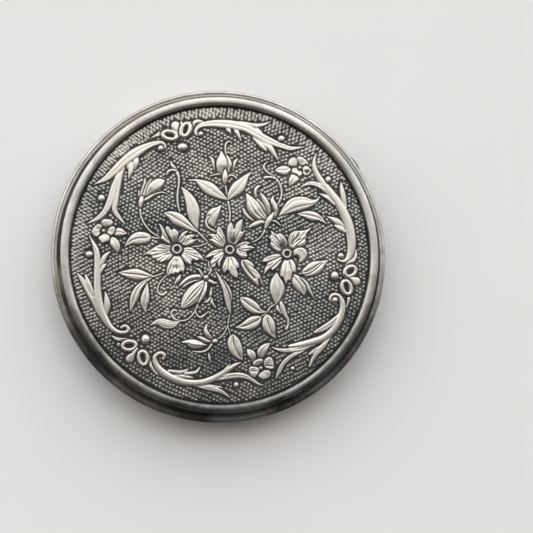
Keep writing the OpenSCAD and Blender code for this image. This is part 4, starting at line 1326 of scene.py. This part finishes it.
plate = turned(
    "door_plate_beaded", "door_plate",
    [(0, 6.9), (34.1, 6.9), (34.2, 7.0), (34.2, 7.3), (34.1, 7.4), (33.3, 7.4), (33.1, 7.3), (32.6, 7.3),
     (32.3, 7.44), (31.9, 7.44), (31.6, 7.3), (31.2, 7.3), (31.0, 7.36), (20, 7.38), (0, 7.4)],
    GILT, "powder_door", "gilt_brass", 0.06,
)
cut_box(plate, (-36, 33.9, 6.5), (36, 36, 8))
crisp(plate)


# ---------------------------------------------------------------- hinge and thumb-piece
def rod_part(low, high, y, z, radius, sides=40, edge=0.08):
    """Points and faces of a rod along X with softened ends."""
    left_end = [(low, 0.0), (low, radius - edge), (low + edge, radius)]
    right_end = [(high - edge, radius), (high, radius - edge), (high, 0.0)]
    stations = left_end + right_end
    points = []
    for x, r in stations:
        for k in range(sides):
            t = 2 * math.pi * k / sides
            points.append((x, y + r * math.cos(t), z + r * math.sin(t)))
    faces = []
    for i in range(len(stations) - 1):
        for k in range(sides):
            j = (k + 1) % sides
            faces.append([i * sides + k, (i + 1) * sides + k, (i + 1) * sides + j, i * sides + j])
    return points, faces


def joined(name, parts, material, body, node):
    """One piece out of several parts, in place of a CAD node."""
    points, faces = [], []
    for part_points, part_faces in parts:
        faces.extend([len(points) + i for i in face] for face in part_faces)
        points.extend(part_points)
    ob = mesh_piece(name, points, faces, material, body)
    tidy_normals(ob, weld=True)
    crisp(ob, 35)
    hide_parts(node)


KNUCKLE_PITCH = 2.24
base_parts, lid_parts = [], []
for i in range(5):
    x0 = -5.6 + i * KNUCKLE_PITCH + 0.05
    x1 = x0 + KNUCKLE_PITCH - 0.1
    parts, web_low, web_high = (base_parts, 4.9, 6.0) if i % 2 == 0 else (lid_parts, 6.0, 7.1)
    parts.append(rod_part(x0, x1, HINGE_Y, HINGE_Z, 0.95))
    parts.append(box_part((x0, 40.6, web_low), (x1, 41.25, web_high)))
joined("case_knuckles", base_parts, CASE_PLAIN, "root", "base_hinge_knuckles")
joined("lid_knuckles", lid_parts, CASE_PLAIN, "lid", "lid_hinge_knuckles")
pin = rod_part(-5.66, 5.66, HINGE_Y, HINGE_Z, 0.45, 28, 0.14)
joined("pin_domed", [pin], TINNED, "root", "hinge_pin")


def thumb_piece():
    """Crescent under the lip with a rounded edge and finger ribs."""
    centre, radius, low, thick = -37.8, 5.5, 6.2, 0.85
    across, depth = 61, 22
    half = math.degrees(math.acos((41.62**2 - centre**2 - radius**2) / (2 * radius * -centre)))
    points = []
    for k in range(across):
        t = math.radians(-90 + (k / (across - 1) * 2 - 1) * half)
        ox, oy = radius * math.cos(t), centre + radius * math.sin(t)
        reach = math.hypot(ox, oy)
        ux, uy = ox / reach, oy / reach
        rib = 0.05 * math.cos(k * 2 * math.pi / 4) * math.sin(math.pi * k / (across - 1)) ** 0.5
        for j in range(depth):
            a = math.pi * j / (depth - 1)
            swell = math.sin(a) ** 0.55 if 0 < j < depth - 1 else 0.0
            r = 41.5 + (reach - 41.5 + rib * swell) * swell
            z = low + thick / 2 - math.cos(a) * thick / 2
            points.append((ux * r, uy * r, z))
    faces = []
    for k in range(across - 1):
        for j in range(depth - 1):
            a = k * depth + j
            faces.append([a, a + 1, a + depth + 1, a + depth])
        faces.append([k * depth, (k + 1) * depth, (k + 2) * depth - 1, (k + 1) * depth - 1])
    faces.append(list(range(depth)))
    faces.append(list(range((across - 1) * depth, across * depth))[::-1])
    ob = mesh_piece("thumb_piece_ribbed", points, faces, CASE, "lid")
    tidy_normals(ob)
    crisp(ob, 50)
    p = points_mm(ob)
    reach = np.hypot(p[:, 0], p[:, 1])
    point_values(ob, "polish", 0.14 * ramp(reach, 42.6, 43.3))
    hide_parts("thumb_piece")


thumb_piece()

for node, material in (
    ("catch_lug", BRIGHT), ("door_hinge_brackets", GILT_PLAIN), ("door_hinge_pin", TINNED),
    ("door_hinge_knuckle", GILT_PLAIN), ("door_tab", GILT_PLAIN), ("mirror_backing", CARD),
):
    for material_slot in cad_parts[node].material_slots:
        material_slot.material = material
    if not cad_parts[node].material_slots:
        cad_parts[node].data.materials.append(material)


# ---------------------------------------------------------------- puff
# The cloth is simulated this many times larger than it is.
SIM = 20.0


def divided(outline, length):
    """Adds points along the long sides of an outline that starts and ends at the axis."""
    out = []
    for (ra, za), (rb, zb) in zip(outline, outline[1:]):
        count = max(1, round(math.hypot(rb - ra, zb - za) / length))
        out.extend((ra + (rb - ra) * k / count, za + (zb - za) * k / count) for k in range(count))
    return out + [outline[-1]]


def stuffed(name, outline, material, pressure, cap, node):
    """A padded disc: cloth under pressure, started from a slightly smaller shape."""
    outline = divided(soften(outline, 0.4, 4), 1.1)
    ob = lathe(name, [(r * SIM, z * SIM) for r, z in outline], material, "root", 120)
    tidy_normals(ob)
    ob.parent = None
    start = points_mm(ob)
    m = ob.modifiers.new("cloth", "CLOTH")
    s = m.settings
    s.quality = 5
    s.mass = 0.15
    s.tension_stiffness = 12
    s.compression_stiffness = 12
    s.shear_stiffness = 4
    s.bending_stiffness = 0.2
    s.use_pressure = True
    s.uniform_pressure_force = pressure
    s.effector_weights.gravity = 0
    m.point_cache.frame_start = 1
    m.point_cache.frame_end = 16
    for step in range(1, 17):
        bpy.context.scene.frame_set(step)
    apply_modifiers(ob)
    moved = points_mm(ob) - start
    length = np.linalg.norm(moved, axis=1, keepdims=True)
    moved *= np.minimum(1, cap * SIM / np.maximum(length, 1e-9))
    ob.data.vertices.foreach_set("co", ((start + moved) * MM).ravel())
    bpy.context.scene.frame_set(1)
    m = ob.modifiers.new("smooth", "SUBSURF")
    m.levels = 1
    m.render_levels = 1
    apply_modifiers(ob)
    p = points_mm(ob) / SIM
    ob.data.vertices.foreach_set("co", (p * MM).ravel())
    ob.data.update()
    ob.data.polygons.foreach_set("use_smooth", np.ones(len(ob.data.polygons), bool))
    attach(ob, "root")
    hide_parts(node)
    return ob


def move_points(ob, change):
    """Adds to every point what the change function gives for it."""
    p = points_mm(ob)
    ob.data.vertices.foreach_set("co", ((p + change(p)) * MM).astype(np.float32).ravel())
    ob.data.update()


def pile(p):
    """Uneven pile of the velour, held inside its space."""
    x, y = p[:, 0], p[:, 1]
    wave = np.sin(x * 0.9 + 1.7 * np.sin(y * 0.5)) * np.sin(y * 0.8 + 1.1 * np.sin(x * 0.6))
    out = np.zeros_like(p)
    out[:, 2] = 0.05 * wave
    return out


def fold_height(p):
    """Radial folds where the satin is drawn in at the rim, from -1 to 1."""
    r, t = np.hypot(p[:, 0], p[:, 1]), np.arctan2(p[:, 1], p[:, 0])
    fold = np.sin(54 * t + 1.3 * np.sin(5 * t)) + 0.6 * np.sin(31 * t + 2.0 * np.sin(3 * t))
    return fold / 1.6 * ramp(r, 14.0, 27.0) * (p[:, 2] > 5.7)


def gathers(p):
    """The folds as a change in height."""
    out = np.zeros_like(p)
    out[:, 2] = 0.09 * fold_height(p)
    return out


def cap_shade(p):
    """Painted shade in the valleys between the folds, and a row of stitches near the rim."""
    stitches, seam_r, seam_w = 150, 26.2, 0.22
    reach, turn = np.hypot(p[:, 0], p[:, 1]), np.arctan2(p[:, 1], p[:, 0])
    stitch = np.exp(-((reach - seam_r) / seam_w) ** 2) * (0.55 + 0.45 * np.sin(stitches * turn))
    return np.clip(0.1 - 0.42 * fold_height(p), 0, 0.6) + 0.6 * stitch


pad = stuffed(
    "puff_pad_sewn",
    [(0, 3.75), (27.6, 3.75), (28.5, 4.3), (28.5, 4.7), (27.6, 5.3), (0, 5.3)],
    VELOUR, 4.0, 0.35, "puff_pad",
)
move_points(pad, pile)
cap = stuffed(
    "puff_cap_sewn",
    [(0, 5.52), (27.4, 5.52), (27.9, 5.65), (27.4, 5.85), (24.0, 5.98), (0, 5.98)],
    SATIN, 2.0, 0.12, "puff_cap",
)
point_values(cap, "fold", cap_shade(points_mm(cap)))
move_points(cap, gathers)


def ribbon():
    """Flat satin strap across the puff, caught in the rim seam at both ends."""
    half_l, half_w, thick = 27.6, 3.5, 0.2
    along, across = 121, 15
    points = []
    for side in (1, -1):
        for i in range(along):
            s = i / (along - 1) * 2 - 1
            for k in range(across):
                w = k / (across - 1) * 2 - 1
                pinch = 1 - 0.12 * abs(s) ** 6
                crease = 0.05 * math.sin(9 * s + 2.5 * w) * (1 - s * s) + 0.03 * math.sin(23 * s + 4 * w)
                z = 6.05 + 0.2 * (1 - abs(s) ** 5) + crease * 0.6 + 0.03 * w * w
                edge = thick / 2 * (1 - 0.6 * abs(w) ** 8)
                points.append((half_l * s, half_w * w * pinch, z + side * edge))
    faces = []
    other = along * across
    for i in range(along - 1):
        for k in range(across - 1):
            a = i * across + k
            faces.append([a, a + 1, a + across + 1, a + across])
            faces.append([other + a, other + a + across, other + a + across + 1, other + a + 1])
        for a, b in ((i * across, (i + 1) * across), ((i + 2) * across - 1, (i + 1) * across - 1)):
            faces.append([a, b, other + b, other + a])
    for k in range(across - 1):
        for a, b in ((k + 1, k), ((along - 1) * across + k, (along - 1) * across + k + 1)):
            faces.append([a, b, other + b, other + a])
    ob = mesh_piece("puff_ribbon_strap", points, faces, RIBBON, "root")
    p = np.array(points)
    selvedge = np.exp(-((np.abs(p[:, 1]) - 0.86 * half_w) / 0.18) ** 2)
    rows = sum(np.exp(-((np.abs(p[:, 0]) - place) / 0.2) ** 2) for place in (24.6, 25.7))
    # Painted shade: the slanting wave darkens the ribbon along its creases; selvedges and stitch rows are
    # darker threads.
    wave = 0.12 + 0.12 * np.sin(p[:, 0] * 0.4 + p[:, 1] * 0.7)
    point_values(ob, "fold", np.clip(0.45 * selvedge + 0.6 * rows + wave, 0, 1))
    tidy_normals(ob)
    crisp(ob, 60)
    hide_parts("puff_ribbon")


ribbon()


# ---------------------------------------------------------------- floor, light and camera
def floor():
    reach = 9
    me = bpy.data.meshes.new("floor")
    corners = [(-reach, -reach, 0), (reach, -reach, 0), (reach, reach, 0), (-reach, reach, 0)]
    me.from_pydata(corners, [], [(0, 1, 2, 3)])
    ob = bpy.data.objects.new("floor", me)
    bpy.context.scene.collection.objects.link(ob)
    n = Nodes("floor_paper")
    colour = n.mix(n.noise(30, 3), (0.90, 0.90, 0.895), (0.94, 0.94, 0.935))
    ob.data.materials.append(n.set(Base_Color=colour, Roughness=0.9))


def softbox(name, place, size, watts, tint=(1.0, 1.0, 1.0)):
    """Rectangular light aimed at the middle of the case."""
    data = bpy.data.lights.new(name, "AREA")
    data.shape = "RECTANGLE"
    data.size, data.size_y = size
    data.energy = watts
    data.color = tint
    ob = bpy.data.objects.new(name, data)
    bpy.context.scene.collection.objects.link(ob)
    ob.location = place
    ob.rotation_euler = (-place).to_track_quat("-Z", "Y").to_euler()


PICTURE_UP = Vector((UP_X, UP_Y, 0.0))
PICTURE_RIGHT = Vector((UP_Y, -UP_X, 0.0))


def studio():
    """A bright room, dark on the side of the picture's bottom, and two softboxes."""
    world = bpy.data.worlds.new("studio")
    bpy.context.scene.world = world
    world.use_nodes = True
    tree = world.node_tree
    side = tree.nodes.new("ShaderNodeVectorMath")
    side.operation = "DOT_PRODUCT"
    tree.links.new(tree.nodes.new("ShaderNodeTexCoord").outputs["Generated"], side.inputs[0])
    side.inputs[1].default_value = PICTURE_UP
    blend = tree.nodes.new("ShaderNodeMapRange")
    tree.links.new(side.outputs["Value"], blend.inputs["Value"])
    blend.interpolation_type = "SMOOTHSTEP"
    blend.inputs["From Min"].default_value = -0.04
    blend.inputs["From Max"].default_value = 0.36
    shade = tree.nodes.new("ShaderNodeMix")
    shade.data_type = "RGBA"
    tree.links.new(blend.outputs["Result"], shade.inputs["Factor"])
    shade.inputs[6].default_value = (0.065, 0.052, 0.046, 1.0)
    shade.inputs[7].default_value = (1.0, 0.996, 0.988, 1.0)
    tree.links.new(shade.outputs[2], tree.nodes["Background"].inputs["Color"])
    tree.nodes["Background"].inputs["Strength"].default_value = 1.6
    softbox("key", PICTURE_UP * 0.62 + Vector((0, 0, 0.60)), (1.3, 0.7), 1.4, (1.0, 0.98, 0.95))
    softbox("fill", PICTURE_RIGHT * -0.8 + Vector((0, 0, 0.5)), (0.6, 0.5), 1.0)


def aimed(look):
    """A viewing direction with the directions to its side and above it."""
    look = look.normalized()
    side = look.cross(PICTURE_UP).normalized()
    return look, side, side.cross(look).normalized()


def camera():
    """The photo's viewpoint: nearly overhead, with the case a little off the picture's middle."""
    data = bpy.data.cameras.new("camera")
    ob = bpy.data.objects.new("camera", data)
    bpy.context.scene.collection.objects.link(ob)
    bpy.context.scene.camera = ob
    data.lens = 75
    data.sensor_width = 36
    data.clip_start, data.clip_end = 0.01, 10
    centre = Vector((0, 0, 0.01095))
    tilt, toward, distance = math.radians(8.4), math.radians(115), 0.2794
    aside, below = 0.040345, 0.012248
    out = Vector((math.sin(tilt) * math.cos(toward), math.sin(tilt) * math.sin(toward), math.cos(tilt)))
    look, side, above = aimed(-out)
    look, side, above = aimed(look + side * aside - above * below)
    turn = Matrix((side, above, -look)).transposed()
    ob.matrix_world = Matrix.Translation(centre + out * distance) @ turn.to_4x4()


floor()
studio()
camera()
bpy.context.scene.view_settings.view_transform = "Standard"
